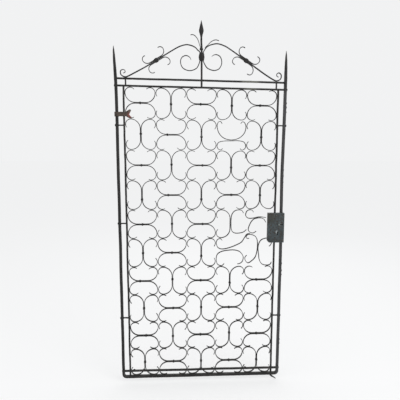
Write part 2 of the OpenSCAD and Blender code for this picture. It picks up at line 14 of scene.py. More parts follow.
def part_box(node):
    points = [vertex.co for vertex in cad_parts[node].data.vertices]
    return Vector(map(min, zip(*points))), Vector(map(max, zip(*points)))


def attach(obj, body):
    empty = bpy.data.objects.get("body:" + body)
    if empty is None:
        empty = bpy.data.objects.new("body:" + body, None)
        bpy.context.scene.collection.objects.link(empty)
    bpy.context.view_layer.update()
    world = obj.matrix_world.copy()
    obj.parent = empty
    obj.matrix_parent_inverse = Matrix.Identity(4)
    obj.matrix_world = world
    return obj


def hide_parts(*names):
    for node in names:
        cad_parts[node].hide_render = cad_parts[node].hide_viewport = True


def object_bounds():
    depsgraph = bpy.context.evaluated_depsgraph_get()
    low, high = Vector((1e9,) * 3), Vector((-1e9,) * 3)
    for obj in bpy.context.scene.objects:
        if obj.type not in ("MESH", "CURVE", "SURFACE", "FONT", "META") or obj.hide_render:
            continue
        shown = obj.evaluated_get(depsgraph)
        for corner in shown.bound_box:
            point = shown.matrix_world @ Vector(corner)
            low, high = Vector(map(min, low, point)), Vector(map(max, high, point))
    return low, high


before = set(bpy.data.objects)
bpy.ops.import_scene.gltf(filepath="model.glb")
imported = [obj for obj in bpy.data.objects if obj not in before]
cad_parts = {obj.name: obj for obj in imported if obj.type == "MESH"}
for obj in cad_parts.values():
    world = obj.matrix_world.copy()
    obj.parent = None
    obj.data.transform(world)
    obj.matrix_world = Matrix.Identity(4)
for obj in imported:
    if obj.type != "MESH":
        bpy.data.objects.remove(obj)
cad_low, cad_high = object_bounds()

MM = 0.001
ALONG_X = np.array((1.0, 0.0, 0.0))
ALONG_Y = np.array((0.0, 1.0, 0.0))
ALONG_Z = np.array((0.0, 0.0, 1.0))

SIDES = ((-1, "left"), (1, "right"))

# Sizes the pieces share, in mm as in the part's source. Z is up from the underside of the
# bottom rail. TOUCH is the hair of air kept between two strips that lie together, and
# STRAP_Y the middle of the anchor strap's thickness.
TOUCH = 0.15
CELL, FIELD_FOOT = 158.0, 15.15
ROWS, COLUMNS = 10, 5
STRIP_T, STRIP_D = 4.0, 10.0
CURL_R, CURL_HOOK = 28.0, 42.0
ARC_BIG = CELL / 2 - 2 * TOUCH - CURL_R
COLLAR_LEN = 9.0
OUTER_X, OUTER_BAR = 437.0, 15.0
BEND_OUT, BEND_R = 24.0, 16.5
INNER_X, INNER_BAR = 400.0, 10.0
TIE_Z = (358.0, 890.0, 1408.0)
CROSS_Z, CROSS_H, CROSS_D = 48.0, 12.0, 7.0
LOW_RAIL_Z, HIGH_RAIL_Z, RAIL_H = 1595.3, 1630.8, 9.5
PED_Z = HIGH_RAIL_Z + RAIL_H
BALL_Z = PED_Z + 113.0
RING_Z = BALL_Z + 37.0
ANCHOR_Z, STRAP_Y = 1464.0, -10.05
SPIKE_FOOT, SPIKE_TIP = 1648.3, 1795.3
SHAFT_BAR, SPEAR_H, SPEAR_LEN = 10.0, 290.0, 90.0
SLOPE_T, VOLUTE_T = 7.0, 4.0
LEAF_T, LEAF_X = 2.6, 6.4

# Cells, by column and row, whose scrolls are bent out of the pattern.
BENT = {(4, 2), (4, 5), (5, 5), (4, 6), (5, 6)}

# How far the sagging gate has racked, in metres, and where it starts on the scrolls and
# on the stiles.
RACK, FIELD_RACK_Z, STILE_RACK_Z = 0.0075, 1.05, 1.50

# Distance between a swept bar's stations, and how far its ends are eased, in metres.
BAR_STEPS = (0.004, 0.001)
STRIP_STEPS = (0.003, 0.0012)

# Angles of the points that round each corner of a bar, in degrees.
HARD_ARC, SOFT_ARC, ROUND_ARC = (18, 72), (12, 45, 78), (6, 28, 45, 62, 84)


def in_scene(name, data):
    """A new object in the scene that holds this mesh, light or camera."""
    obj = bpy.data.objects.new(name, data)
    bpy.context.scene.collection.objects.link(obj)
    return obj


# ---- camera and light
def look_from(place, direction, up):
    """Matrix of a camera at place that looks along direction."""
    ahead = Vector(direction).normalized()
    right = ahead.cross(Vector(up)).normalized()
    true_up = right.cross(ahead)
    turn = Matrix((right, true_up, -ahead)).transposed().to_4x4()
    return Matrix.Translation(place) @ turn


def make_camera():
    """Camera fitted to the photograph."""
    data = bpy.data.cameras.new("camera")
    data.sensor_width = 36.0
    data.lens = 36.0
    camera = in_scene("camera", data)
    camera.matrix_world = look_from(
        (-0.108, -2.121, 1.313), (0.047, 0.989, -0.139), (0.005, 0.139, 0.990)
    )
    bpy.context.scene.camera = camera


def area_light(name, place, target, size, power):
    data = bpy.data.lights.new(name, "AREA")
    data.size = size
    data.energy = power
    light = in_scene(name, data)
    ahead = Vector(target) - Vector(place)
    light.matrix_world = look_from(place, ahead, (0.0, 0.0, 1.0))


PALE = (0.91, 0.915, 0.92, 1.0)


def make_studio():
    """Soft light from both sides and behind, and a pale floor as bright as the backdrop."""
    area_light("key", (1.9, -2.4, 3.0), (0.0, 0.0, 0.9), 1.6, 42.0)
    area_light("fill", (-2.4, -2.0, 1.6), (0.0, 0.0, 0.9), 2.0, 10.0)
    area_light("back", (0.6, 2.6, 2.6), (0.0, 0.0, 0.9), 2.0, 12.0)
    world = bpy.data.worlds.new("studio")
    world.use_nodes = True
    background = world.node_tree.nodes["Background"]
    background.inputs["Color"].default_value = PALE
    background.inputs["Strength"].default_value = 0.97
    bpy.context.scene.world = world
    bpy.context.scene.view_settings.view_transform = "Standard"

    size = 30.0
    ground = cad_low.z - 0.001
    mesh = bpy.data.meshes.new("floor")
    corners = [(-size, -size), (size, -size), (size, size), (-size, size)]
    mesh.from_pydata([(x, y, ground) for x, y in corners], [], [(0, 1, 2, 3)])
    floor = in_scene("floor", mesh)
    pale = bpy.data.materials.new("pale_floor")
    pale.use_nodes = True
    shader = pale.node_tree.nodes["Principled BSDF"]
    for name, value in (("Base Color", (0.35, 0.35, 0.35, 1.0)), ("Roughness", 1.0),
                        ("Specular IOR Level", 0.0), ("Emission Color", PALE),
                        ("Emission Strength", 0.62)):
        shader.inputs[name].default_value = value
    mesh.materials.append(pale)


# ---- materials
class Nodes:
    """Short way to build one material's nodes."""

    def __init__(self, name):
        self.material = bpy.data.materials.new(name)
        self.material.use_nodes = True
        self.tree = self.material.node_tree
        self.shader = self.tree.nodes["Principled BSDF"]
        self.place = self.add("ShaderNodeTexCoord").outputs["Object"]
        self.colour = self.normal = None

    def add(self, kind, inputs=None, **settings):
        node = self.tree.nodes.new(kind)
        for key, value in settings.items():
            setattr(node, key, value)
        for key, value in (inputs or {}).items():
            self.link(value, node.inputs[key])
        return node

    def link(self, source, target):
        """Feeds an input with a number, a vector, a colour or another node's output."""
        if isinstance(source, (int, float)):
            target.default_value = source
        elif isinstance(source, tuple):
            target.default_value = source if target.type == "VECTOR" else (*source, 1.0)
        else:
            self.tree.links.new(source, target)

    def noise(self, scale, detail=4.0, rough=0.55, squash=(1, 1, 1)):
        """Noise with this many features a metre, 0 to 1."""
        mapping = self.add("ShaderNodeMapping", {"Vector": self.place, "Scale": squash})
        return self.add("ShaderNodeTexNoise", {
            "Vector": mapping.outputs["Vector"], "Scale": scale, "Detail": detail,
            "Roughness": rough}).outputs["Fac"]

    def dents(self, scale):
        """Distance to the nearest of many soft hammer marks."""
        return self.add("ShaderNodeTexVoronoi", {
            "Vector": self.place, "Scale": scale, "Smoothness": 0.6,
        }, feature="SMOOTH_F1").outputs["Distance"]

    def ramp(self, value, low, high, to_low=0.0, to_high=1.0):
        return self.add("ShaderNodeMapRange", {
            "Value": value, "From Min": low, "From Max": high, "To Min": to_low,
            "To Max": to_high}, interpolation_type="SMOOTHSTEP").outputs["Result"]

    def math(self, operation, a, b=0.0):
        return self.add("ShaderNodeMath", {0: a, 1: b}, operation=operation).outputs[0]

    def times(self, a, b):
        return self.math("MULTIPLY", a, b)

    def mix(self, amount, a, b):
        return self.add("ShaderNodeMix", {"Factor": amount, "A": a, "B": b},
                        data_type="RGBA").outputs["Result"]

    def tint(self, amount, colour):
        """Lays a colour over the one so far."""
        self.colour = self.mix(amount, self.colour, colour)

    def wear(self):
        """How exposed a point is: 1 along the bars' corners, 0 on their faces."""
        return self.add("ShaderNodeAttribute", attribute_name="wear").outputs["Fac"]

    def near(self, centre, inner, outer):
        """1 within inner metres of centre, fading to 0 at outer."""
        node = self.add("ShaderNodeVectorMath", {0: self.place, 1: centre},
                        operation="DISTANCE")
        return self.ramp(node.outputs["Value"], inner, outer, 1.0, 0.0)

    def axis(self, name):
        return self.add("ShaderNodeSeparateXYZ", {0: self.place}).outputs[name]

    def facing_up(self):
        normal = self.add("ShaderNodeTexCoord").outputs["Normal"]
        return self.add("ShaderNodeSeparateXYZ", {0: normal}).outputs["Z"]

    def bump(self, height, depth, strength):
        """Lays bumps over the ones so far."""
        inputs = {"Distance": depth, "Strength": strength, "Height": height}
        if self.normal:
            inputs["Normal"] = self.normal
        self.normal = self.add("ShaderNodeBump", inputs).outputs["Normal"]

    def finish(self, roughness, metallic=0.0):
        for name, value in (("Base Color", self.colour), ("Roughness", roughness),
                            ("Metallic", metallic), ("Normal", self.normal)):
            self.link(value, self.shader.inputs[name])
        return self.material


# Places of the marks that the photograph shows on single pieces.
PALE_RAIL = (0.252, -0.006, 1.632)
BRICK_DUST = (-0.3665, -0.0101, 1.4600)
MORTAR = (-0.3600, -0.0101, 1.4640)
OLIVE_CORNER = (0.366, -0.034, 0.925)
# The two lock marks are painted highlights: a pale streak by the keyhole and a pale patch by the
# thumb knob.
KEYHOLE_HIGHLIGHT = (0.4072, -0.0345, 0.8440)
KNOB_HIGHLIGHT = (0.4200, -0.0345, 0.8840)


def forged_iron(name, dark, dusty, rust_amount, stile_highlight=None):
    """Blackened iron: hammer marks, old paint, dust on top, rust specks, rubbed corners.

    stile_highlight paints a highlight on the right outer stile, paler grey as if lit from the
    right, and brings the pale mark on the upper rail.
    """
    n = Nodes(name)
    n.shader.inputs["Specular IOR Level"].default_value = 0.30
    broad = n.noise(7.0, 5.0)
    specks = n.noise(160.0, 8.0, 0.7)
    zones = n.noise(22.0, 4.0)
    streaks = n.noise(60.0, 5.0, 0.6, (1.0, 1.0, 0.12))
    n.colour = n.mix(n.ramp(broad, 0.35, 0.7), dark, dusty)
    n.tint(n.ramp(streaks, 0.5, 0.75, 0.0, 0.4), (0.030, 0.026, 0.023))
    if stile_highlight:
        # Painted highlight: the right outer stile is painted paler grey below the pediment, as
        # lit from the right.
        stile = n.times(n.ramp(n.axis("X"), 0.425, 0.434),
                        n.ramp(n.axis("Z"), 1.55, 1.62, 1.0, 0.0))
        n.tint(n.times(stile, n.ramp(broad, 0.2, 0.6, 0.45, 1.0)), stile_highlight)
        pale = n.times(n.near(PALE_RAIL, 0.030, 0.058),
                       n.ramp(specks, 0.30, 0.55, 0.35, 1.0))
        n.tint(pale, (0.135, 0.137, 0.118))
    dust = n.times(n.ramp(n.facing_up(), 0.5, 1.0, 0.0, 0.35), specks)
    n.tint(dust, (0.11, 0.105, 0.095))
    worn = n.times(n.wear(), n.ramp(zones, 0.46, 0.70))
    n.tint(n.times(worn, 0.40), (0.10, 0.095, 0.09))
    rust = n.times(n.ramp(specks, 0.56, 0.68), n.ramp(zones, 0.44, 0.64))
    rust = n.times(rust, rust_amount)
    n.tint(rust, (0.085, 0.035, 0.016))
    roughness = n.math("ADD", n.ramp(specks, 0.3, 0.75, 0.46, 0.68), n.times(rust, 0.25))
    n.bump(n.dents(115.0), 0.0009, 0.55)
    n.bump(n.noise(420.0, 6.0, 0.6), 0.00022, 0.5)
    n.bump(rust, 0.0002, 0.6)
    return n.finish(roughness, n.times(worn, 0.4))


def anchor_iron():
    """Bare forged iron gone brown, with brick dust and mortar between its points."""
    n = Nodes("anchor_iron")
    broad = n.noise(45.0, 6.0, 0.65)
    fine = n.noise(260.0, 8.0, 0.7)
    n.colour = n.mix(n.ramp(broad, 0.35, 0.66), (0.020, 0.016, 0.013), (0.066, 0.047, 0.036))
    n.tint(n.ramp(fine, 0.52, 0.70, 0.0, 0.7), (0.13, 0.062, 0.034))
    brick = n.times(n.near(BRICK_DUST, 0.006, 0.021), n.ramp(fine, 0.28, 0.52))
    n.tint(brick, (0.20, 0.045, 0.040))
    mortar = n.times(n.near(MORTAR, 0.004, 0.026), n.ramp(n.noise(120.0, 5.0), 0.60, 0.68))
    n.tint(mortar, (0.42, 0.38, 0.34))
    worn = n.times(n.wear(), n.ramp(broad, 0.45, 0.7))
    n.tint(n.times(worn, 0.4), (0.14, 0.11, 0.09))
    n.bump(n.dents(95.0), 0.0012, 0.6)
    n.bump(fine, 0.0005, 0.6)
    n.bump(n.math("ADD", brick, mortar), 0.0008, 0.7)
    return n.finish(n.ramp(fine, 0.3, 0.7, 0.62, 0.92))


def lock_paint():
    """Old slate grey-green paint on sheet steel, olive high on the left, with painted highlights
    by the keyhole and the knob.
    """
    n = Nodes("lock_paint")
    n.shader.inputs["Specular IOR Level"].default_value = 0.35
    broad = n.noise(26.0, 5.0, 0.6)
    fine = n.noise(300.0, 8.0, 0.7)
    runs = n.noise(70.0, 5.0, 0.6, (1.0, 1.0, 0.16))
    n.colour = n.mix(n.ramp(broad, 0.34, 0.66), (0.026, 0.034, 0.037), (0.044, 0.060, 0.066))
    olive = n.times(n.near(OLIVE_CORNER, 0.012, 0.048), n.ramp(broad, 0.25, 0.5))
    n.tint(olive, (0.030, 0.032, 0.024))
    n.tint(n.ramp(runs, 0.50, 0.74, 0.0, 0.5), (0.072, 0.082, 0.084))
    foot = n.ramp(n.axis("Z"), 0.795, 0.835, 1.0, 0.35)
    grime = n.times(foot, n.ramp(n.noise(85.0, 6.0), 0.50, 0.62, 0.0, 0.85))
    n.tint(grime, (0.014, 0.014, 0.013))
    edge = n.times(n.wear(), n.ramp(n.noise(90.0, 6.0, 0.65), 0.48, 0.60))
    spots = n.ramp(n.noise(130.0, 7.0, 0.65), 0.69, 0.72)
    bare = n.math("MAXIMUM", edge, spots)
    metal = n.mix(n.ramp(fine, 0.4, 0.6), (0.024, 0.023, 0.021), (0.046, 0.038, 0.031))
    n.tint(bare, metal)
    # Painted highlights, not wear: a pale streak at the keyhole's left and a pale patch by the
    # thumb knob.
    keyhole_highlight = n.times(n.near(KEYHOLE_HIGHLIGHT, 0.0055, 0.0115),
                   n.ramp(n.axis("X"), 0.4078, 0.4098, 1.0, 0.12))
    thumb = n.near(KNOB_HIGHLIGHT, 0.0050, 0.0125)
    rubbed = n.math("MAXIMUM", n.times(keyhole_highlight, 0.85), n.times(thumb, 0.30))
    rubbed = n.times(rubbed, n.ramp(fine, 0.25, 0.5, 0.55, 1.0))
    n.tint(rubbed, (0.24, 0.27, 0.275))
    roughness = n.math("ADD", n.ramp(fine, 0.3, 0.7, 0.42, 0.58), n.times(bare, 0.3))
    n.bump(n.noise(160.0, 4.0), 0.0004, 0.35)
    n.bump(n.times(bare, -1.0), 0.00025, 0.9)
    n.bump(fine, 0.00012, 0.5)
    return n.finish(roughness)


def steel(name, light, dark, brown, rough):
    """Working steel: scratches along its travel, rubbed corners, brown in its hollows."""
    n = Nodes(name)
    scratches = n.noise(240.0, 6.0, 0.7, (0.10, 1.0, 1.0))
    patches = n.noise(60.0, 6.0, 0.65)
    n.colour = n.mix(n.ramp(scratches, 0.3, 0.7), dark, light)
    stain = n.math("SUBTRACT", n.ramp(patches, 0.45, 0.65), n.wear())
    stain = n.times(n.math("MAXIMUM", stain, 0.0), brown)
    n.tint(stain, (0.085, 0.045, 0.026))
    roughness = n.math("ADD", n.ramp(scratches, 0.3, 0.7, rough - 0.08, rough + 0.10),
                       n.times(stain, 0.35))
    metallic = n.math("SUBTRACT", 0.95, n.times(stain, 0.8))
    n.bump(scratches, 0.00012, 0.5)
    n.bump(patches, 0.0003, 0.3)
    return n.finish(roughness, metallic)


# ---- forging tools
def noise3(points, size, seed):
    """Smooth seeded noise, -1 to 1, with features about this size."""
    q = np.asarray(points) / size + 31.7 * (seed % 97) + 3.1
    cell = np.floor(q).astype(np.int64)
    f = q - cell
    f = f * f * (3.0 - 2.0 * f)
    total = np.zeros(q.shape[:-1])
    for corner in range(8):
        step = np.array((corner & 1, corner >> 1 & 1, corner >> 2 & 1))
        c = cell + step
        h = c[..., 0] * 374761393 + c[..., 1] * 668265263 + c[..., 2] * 1274126177
        h = ((h ^ h >> 13) * 1274126177 + seed * 97) & 0xFFFFFFFF
        value = ((h ^ h >> 16) & 0xFFFF) / 32767.5 - 1.0
        total += value * np.prod(np.where(step, f, 1.0 - f), axis=-1)
    return total


def smooth_curve(points, steps=6):
    """Curve through chosen points, as the gate's bent strips are drawn."""
    p = [np.asarray(q, float) for q in points]
    out = []
    for i in range(len(p) - 1):
        a, b, c, d = p[max(i - 1, 0)], p[i], p[i + 1], p[min(i + 2, len(p) - 1)]
        for k in range(steps):
            t = k / steps
            out.append(0.5 * (2 * b + (c - a) * t + (2 * a - 5 * b + 4 * c - d) * t * t
                              + (3 * b - a - 3 * c + d) * t ** 3))
    out.append(p[-1])
    return np.array(out)


def in_gate(points_mm):
    """Points given as X and Z in mm, in the gate's middle plane."""
    p = np.asarray(points_mm, float) * MM
    return np.stack([p[:, 0], np.zeros(len(p)), p[:, 1]], axis=1)


def walked(path):
    """Distance along the path at each of its points."""
    return np.concatenate([[0.0], np.cumsum(np.linalg.norm(np.diff(path, axis=0), axis=1))])


def spaced(path, step, ease):
    """The same path with even points, closer at its ends, and their shares of its length."""
    path = np.asarray(path, float)
    along = walked(path)
    length = along[-1]
    near_end = ease * np.array((0.0, 0.12, 0.35, 0.65, 1.0))
    count = max(int((length - 2 * ease) / step), 2)
    inner = np.linspace(ease, length - ease, count + 1)[1:-1]
    at = np.concatenate([near_end, inner, length - near_end[::-1]])
    return np.stack([np.interp(at, along, path[:, k]) for k in range(3)], axis=1), at / length


def section(half_t, half_d, corner, arc):
    """Rounded rectangle at every station: offsets across and along the depth, and wear."""
    across, deep, wear = [], [], []
    half_t, half_d, corner = (np.asarray(v, float) for v in (half_t, half_d, corner))
    signs = [(1, 1), (-1, 1), (-1, -1), (1, -1)]
    for k, (st, sd) in enumerate(signs):
        for angle in arc:
            a = math.radians(angle + 90 * k)
            across.append(st * (half_t - corner) + corner * math.cos(a))
            deep.append(sd * (half_d - corner) + corner * math.sin(a))
            wear.append(1.0)
        flat = [(0, half_d), (-half_t, 0), (0, -half_d), (half_t, 0)][k]
        across.append(flat[0] + 0 * half_t)
        deep.append(flat[1] + 0 * half_t)
        wear.append(0.0)
    return np.stack(across, axis=1), np.stack(deep, axis=1), np.array(wear)


def eased_step(value, low, high):
    """0 below low, 1 above high, and a soft step between."""
    t = np.clip((value - low) / (high - low), 0, 1)
    return t * t * (3 - 2 * t)


def racked(points, low):
    """The gate has sagged out of square: above low, its left side is higher than its right.

    The pediment between the spikes comes back to true towards its top.
    """
    points = np.array(points)
    x, z = points[..., 0], points[..., 2]
    share = eased_step(z, low, 1.60)
    pediment = np.abs(x) < 0.425
    share = np.where(pediment, share * (1 - eased_step(z, 1.650, 1.735)), share)
    points[..., 2] = z - RACK * x / (OUTER_X * MM) * share
    return points


def settle(bm, mesh):
    """Writes a bmesh to its mesh, with every face turned outwards."""
    bmesh.ops.recalc_face_normals(bm, faces=bm.faces)
    bm.to_mesh(mesh)
    bm.free()


def set_wear(mesh, values):
    layer = mesh.attributes.new("wear", "FLOAT", "POINT")
    layer.data.foreach_set("value", values.astype(np.float32))


def declare(obj, body, nodes):
    """Hangs a piece under its body's empty and hides the CAD nodes it stands for.
    """
    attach(obj, body)
    if nodes:
        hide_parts(*nodes)


class Forging:
    """Gathers the shells of one piece, then makes its object."""

    def __init__(self):
        self.points, self.faces, self.worn, self.count = [], [], [], 0

    def shell(self, grid, worn):
        """Skin over a grid of stations by points around, capped at both ends."""
        stations, around = grid.shape[:2]
        start = self.count
        self.points.append(grid.reshape(-1, 3))
        self.worn.append(np.broadcast_to(worn, (stations, around)).reshape(-1))
        for i in range(stations - 1):
            a = start + i * around
            b = a + around
            for k in range(around):
                m = (k + 1) % around
                self.faces.append((a + k, a + m, b + m, b + k))
        last = start + (stations - 1) * around
        self.faces.append(tuple(range(start + around - 1, start - 1, -1)))
        self.faces.append(tuple(range(last, last + around)))
        self.count += stations * around

    def bar(self, path, thick, depth, corner=0.0008, side=ALONG_Y, step=0.003, dent=0.00025,
            ease=0.001, seed=1, arc=HARD_ARC, shape=None, share=None):
        """Bar swept along a path. thick and depth may follow the share of its length."""
        if share is None:
            path, share = spaced(path, step, ease)
        tangent = np.gradient(path, axis=0)
        tangent /= np.linalg.norm(tangent, axis=1)[:, None]
        normal = np.cross(side, tangent)
        normal /= np.linalg.norm(normal, axis=1)[:, None]
        half_t = (thick(share) if callable(thick) else thick + 0 * share) / 2
        half_d = (depth(share) if callable(depth) else depth + 0 * share) / 2
        along = walked(path)
        to_end = np.minimum(along, along[-1] - along)
        cut = np.minimum(ease, np.minimum(half_t, half_d) * 0.9)
        gone = cut * (1 - np.sqrt(np.clip(1 - (1 - to_end / ease) ** 2, 0, 1)))
        gone = np.where(to_end < ease, gone, 0.0)
        half_t, half_d = half_t - gone, half_d - gone
        corner = corner + 0 * share if not callable(corner) else corner(path, share)
        corner = np.minimum(corner, np.minimum(half_t, half_d) * 0.98)
        u, v, worn = section(half_t, half_d, corner, arc)
        grid = (path[:, None, :] + normal[:, None, :] * u[:, :, None]
                + side[None, None, :] * v[:, :, None])
        out = grid - path[:, None, :]
        size = np.linalg.norm(out, axis=2, keepdims=True)
        amount = dent * (0.65 * noise3(grid, 0.011, seed) + 0.35 * noise3(grid, 0.004, seed + 5))
        amount = amount - abs(dent) * 0.6
        grid = grid + out / np.maximum(size, 1e-9) * amount[:, :, None]
        if shape is not None:
            grid = shape(grid)
        self.shell(grid, worn)
        return grid

    def turned(self, centre, axis, profile, seed=1, dent=0.0002, around=28, lobes=0.0):
        """Round piece: profile is radius and height along axis, from one end to the other."""
        axis = np.asarray(axis, float)
        first = ALONG_X if abs(axis[0]) < 0.9 else ALONG_Y
        a = np.cross(axis, first)
        a /= np.linalg.norm(a)
        b = np.cross(axis, a)
        angle = np.linspace(0, 2 * math.pi, around, endpoint=False)
        rim = 1 - lobes * (0.5 - 0.5 * np.cos(4 * angle))
        ring = (np.cos(angle) * rim)[:, None] * a + (np.sin(angle) * rim)[:, None] * b
        r = np.array([p[0] for p in profile])
        h = np.array([p[1] for p in profile])
        grid = np.asarray(centre) + r[:, None, None] * ring + h[:, None, None] * axis
        amount = dent * (noise3(grid, 0.009, seed) - 1.0) * np.minimum(1, r / 0.004)[:, None]
        grid = grid + ring * amount[:, :, None]
        bend = np.abs(np.gradient(np.arctan2(np.gradient(r), np.gradient(h) + 1e-9)))
        self.shell(grid, np.clip(bend, 0, 1)[:, None])

    def lump(self, centre, radii, seed):
        """Irregular blob of weld or scale."""
        turns = np.linspace(0.06, math.pi - 0.06, 9)
        profile = [(math.sin(t), -math.cos(t)) for t in turns]
        angle = np.linspace(0, 2 * math.pi, 14, endpoint=False)
        grid = np.array([[(r * math.cos(a), r * math.sin(a), h) for a in angle]
                         for r, h in profile])
        grid *= (1 + 0.22 * noise3(grid, 0.7, seed))[:, :, None]
        self.shell(np.asarray(centre) + grid * np.asarray(radii), 0.4)

    def band(self, centre, along, across, inner, wall, length, seed, tilt=0.0):
        """Strip wrapped round bars: its ends lap at the back. inner is its opening."""
        along, across = np.asarray(along, float), np.asarray(across, float)
        third = np.cross(along, across)
        if tilt:
            turn = np.array(Matrix.Rotation(tilt, 3, Vector(across)))
            along, third = turn @ along, turn @ third
        w, h = (inner[0] + wall) / 2, (inner[1] + wall) / 2
        r = wall * 0.9
        corners = [(w - r, h - r, 0), (-w + r, h - r, 90), (-w + r, -h + r, 180),
                   (w - r, -h + r, 270)]
        flat = [(0.12 * w, h)]
        for cx, cy, start in corners[1:] + corners[:1]:
            for a in (start, start + 30, start + 60, start + 90):
                t = math.radians(a)
                flat.append((cx + r * math.cos(t), cy + r * math.sin(t)))
        flat += [(0.55 * w, h + 0.25 * wall), (-0.15 * w, h + 0.55 * wall)]
        path = np.array([np.asarray(centre) + x * across + y * third for x, y in flat])
        self.bar(path, wall, length, corner=0.0007, side=along, step=0.0016, ease=0.0006,
                 dent=0.00035, seed=seed)

    def finish(self, name, material, *nodes, body="leaf", slot=None,
               rack_from=FIELD_RACK_Z):
        """Makes the object that stands for these CAD nodes."""
        mesh = bpy.data.meshes.new(name)
        points = np.concatenate(self.points)
        if body == "leaf":
            points = racked(points, rack_from)
        mesh.from_pydata(points.tolist(), [], self.faces)
        set_wear(mesh, np.concatenate(self.worn))
        bm = bmesh.new()
        bm.from_mesh(mesh)
        settle(bm, mesh)
        mesh.shade_smooth()
        mesh.materials.append(material)
        declare(in_scene(name, mesh), body, nodes)


def eased(name, node, width, material, body="leaf", segments=3):
    """A CAD node's shape with its sharp edges rounded, standing for that node."""
    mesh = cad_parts[node].data.copy()
    mesh.name = name
    bm = bmesh.new()
    bm.from_mesh(mesh)
    bmesh.ops.remove_doubles(bm, verts=bm.verts, dist=1e-6)
    bmesh.ops.dissolve_limit(bm, angle_limit=math.radians(1.0), verts=bm.verts, edges=bm.edges)
    sharp = [e for e in bm.edges if e.calc_face_angle(0.0) > math.radians(35)]
    made = bmesh.ops.bevel(bm, geom=sharp, offset=width, segments=segments, profile=0.5,
                           affect="EDGES", clamp_overlap=True)
    layer = bm.verts.layers.float.new("wear")
    for face in made["faces"]:
        for vert in face.verts:
            vert[layer] = 1.0
    settle(bm, mesh)
    mesh.materials.clear()
    mesh.materials.append(material)
    mesh.shade_smooth()
    mesh.set_sharp_from_angle(angle=math.radians(32))
    declare(in_scene(name, mesh), body, (node,))


def cell_middle(column, row):
    return (column - 3) * CELL, FIELD_FOOT + (ROWS - row + 0.5) * CELL


# ---- outer frame
def outer_frame(material):
    """One bar: left spike, stile, bend, bottom rail, bend, stile and right spike."""
    turn = math.radians(1) * np.arange(0, 91, 6)
    bend = OUTER_X + OUTER_BAR / 2 - BEND_OUT
    left = [(-bend - BEND_R * math.cos(a), BEND_OUT - BEND_R * math.sin(a)) for a in turn]
    right = [(-x, z) for x, z in left[::-1]]
    corners = [(-OUTER_X, SPIKE_TIP), *left, *right, (OUTER_X, SPIKE_TIP)]
    path, share = spaced(in_gate(corners), *BAR_STEPS)

    journal = np.clip(1 - (np.abs(path[:, 2] - ANCHOR_Z * MM) - 0.0122) / 0.002, 0, 1)
    journal *= path[:, 0] < 0
    wander = 0.0009 * (1 - journal) * (path[:, 2] > 0.06)
    path[:, 0] += wander * noise3(path, 0.13, 3)
    path[:, 1] += 0.0007 * (1 - journal) * noise3(path, 0.17, 9)
    path[:, 2] += 0.0006 * noise3(path, 0.12, 5) * (np.abs(path[:, 0]) < 0.38)
    above = np.clip((path[:, 2] - SPIKE_FOOT * MM) / ((SPIKE_TIP - SPIKE_FOOT) * MM), 0, 1)
    high = eased_step(path[:, 2], 1.50, 1.80)
    tip = np.clip((path[:, 2] - 1.64) / 0.155, 0, 1)
    bow = np.sin(math.pi * np.clip((path[:, 2] - 0.62) / 0.96, 0, 1)) ** 2
    path[:, 0] += np.where(path[:, 0] < 0, -0.0042 * high - 0.0036 * tip, -0.0042 * bow)

    side = OUTER_BAR * MM * (1 - 0.015 * noise3(path, 0.05, 2) * (1 - journal))
    lancet = np.interp(above, [0, 0.4, 0.66, 0.86, 0.97, 1], [1, 0.95, 0.82, 0.54, 0.22, 0.12])
    lancet = lancet * (1 + 0.05 * noise3(path, 0.02, 6) * np.clip(above * 8, 0, 1))
    width = np.where(above > 0, OUTER_BAR * MM * np.minimum(lancet, 1), side)
    width = np.where(journal > 0.5, OUTER_BAR * MM, np.minimum(width, OUTER_BAR * MM))

    def corner(points, at):
        round_off = 0.0016 + 0.003 * np.clip(above * 3, 0, 1)
        return np.where(journal > 0, 0.0016 + 0.0059 * journal, round_off)

    # Lumps of old weld on the right stile's outer face: Z in metres, and how far they rise.
    lumps = [(1.525, 3.0), (1.502, 3.2), (1.478, 2.6), (1.175, 2.6), (1.143, 3.2),
             (1.110, 2.8), (0.660, 2.4), (0.620, 3.0), (0.597, 2.4), (0.216, 2.6),
             (0.193, 2.2)]

    def shape(grid):
        outside = np.clip((grid[..., 0] - OUTER_X * MM) / 0.0075, 0, 1)
        for z, height in lumps:
            grid[..., 0] += (height * MM * outside
                             * np.exp(-((grid[..., 2] - z) / 0.0045) ** 2))
        return grid

    iron = Forging()
    grid = iron.bar(path, lambda s: width, lambda s: width, corner=corner, dent=0.0004,
                    seed=4, arc=ROUND_ARC, share=share, shape=shape)
    # The journal that turns in the wall anchor is truly round: no hammer marks there.
    middle, turned = path[:, None, :], journal[:, None]
    out = grid - middle
    from_axis = np.maximum(np.linalg.norm(out, axis=2), 1e-6)
    round_grid = middle + out * (1 + turned * (0.0075 / from_axis - 1))[:, :, None]
    iron.points[-1] = np.where(turned[:, :, None] > 0.98, round_grid, grid).reshape(-1, 3)
    iron.finish("outer_frame_bar", material, "outer_stile_left", "outer_stile_right",
                "bottom_rail", rack_from=STILE_RACK_Z)


def wavy_upright(x, low, high, side, seed, name, material, node):
    """Square inner stile that wanders a little, as the photograph shows."""
    path, share = spaced(in_gate([(x, low), (x, high)]), *BAR_STEPS)
    path[:, 0] += 0.0009 * noise3(path, 0.07, seed) + 0.0004 * noise3(path, 0.018, seed + 1)
    path[:, 1] += 0.0006 * noise3(path, 0.11, seed + 2)
    iron = Forging()
    iron.bar(path, side * MM, side * MM, corner=0.0013, dent=0.0005, seed=seed,
             share=share, arc=SOFT_ARC)
    iron.finish(name, material, node, rack_from=STILE_RACK_Z)


def wavy_rail(iron, x, z, height, depth, y, seed, sway):
    """Level bar from -x to x that wanders up and down by sway."""
    path, share = spaced(in_gate([(-x, z), (x, z)]), *BAR_STEPS)
    path[:, 1] += y * MM
    path[:, 2] += sway * noise3(path, 0.14, seed) + 0.0003 * noise3(path, 0.03, seed + 1)
    iron.bar(path, height * MM, depth * MM, corner=0.0012, dent=0.0004, seed=seed,
             share=share, arc=SOFT_ARC)


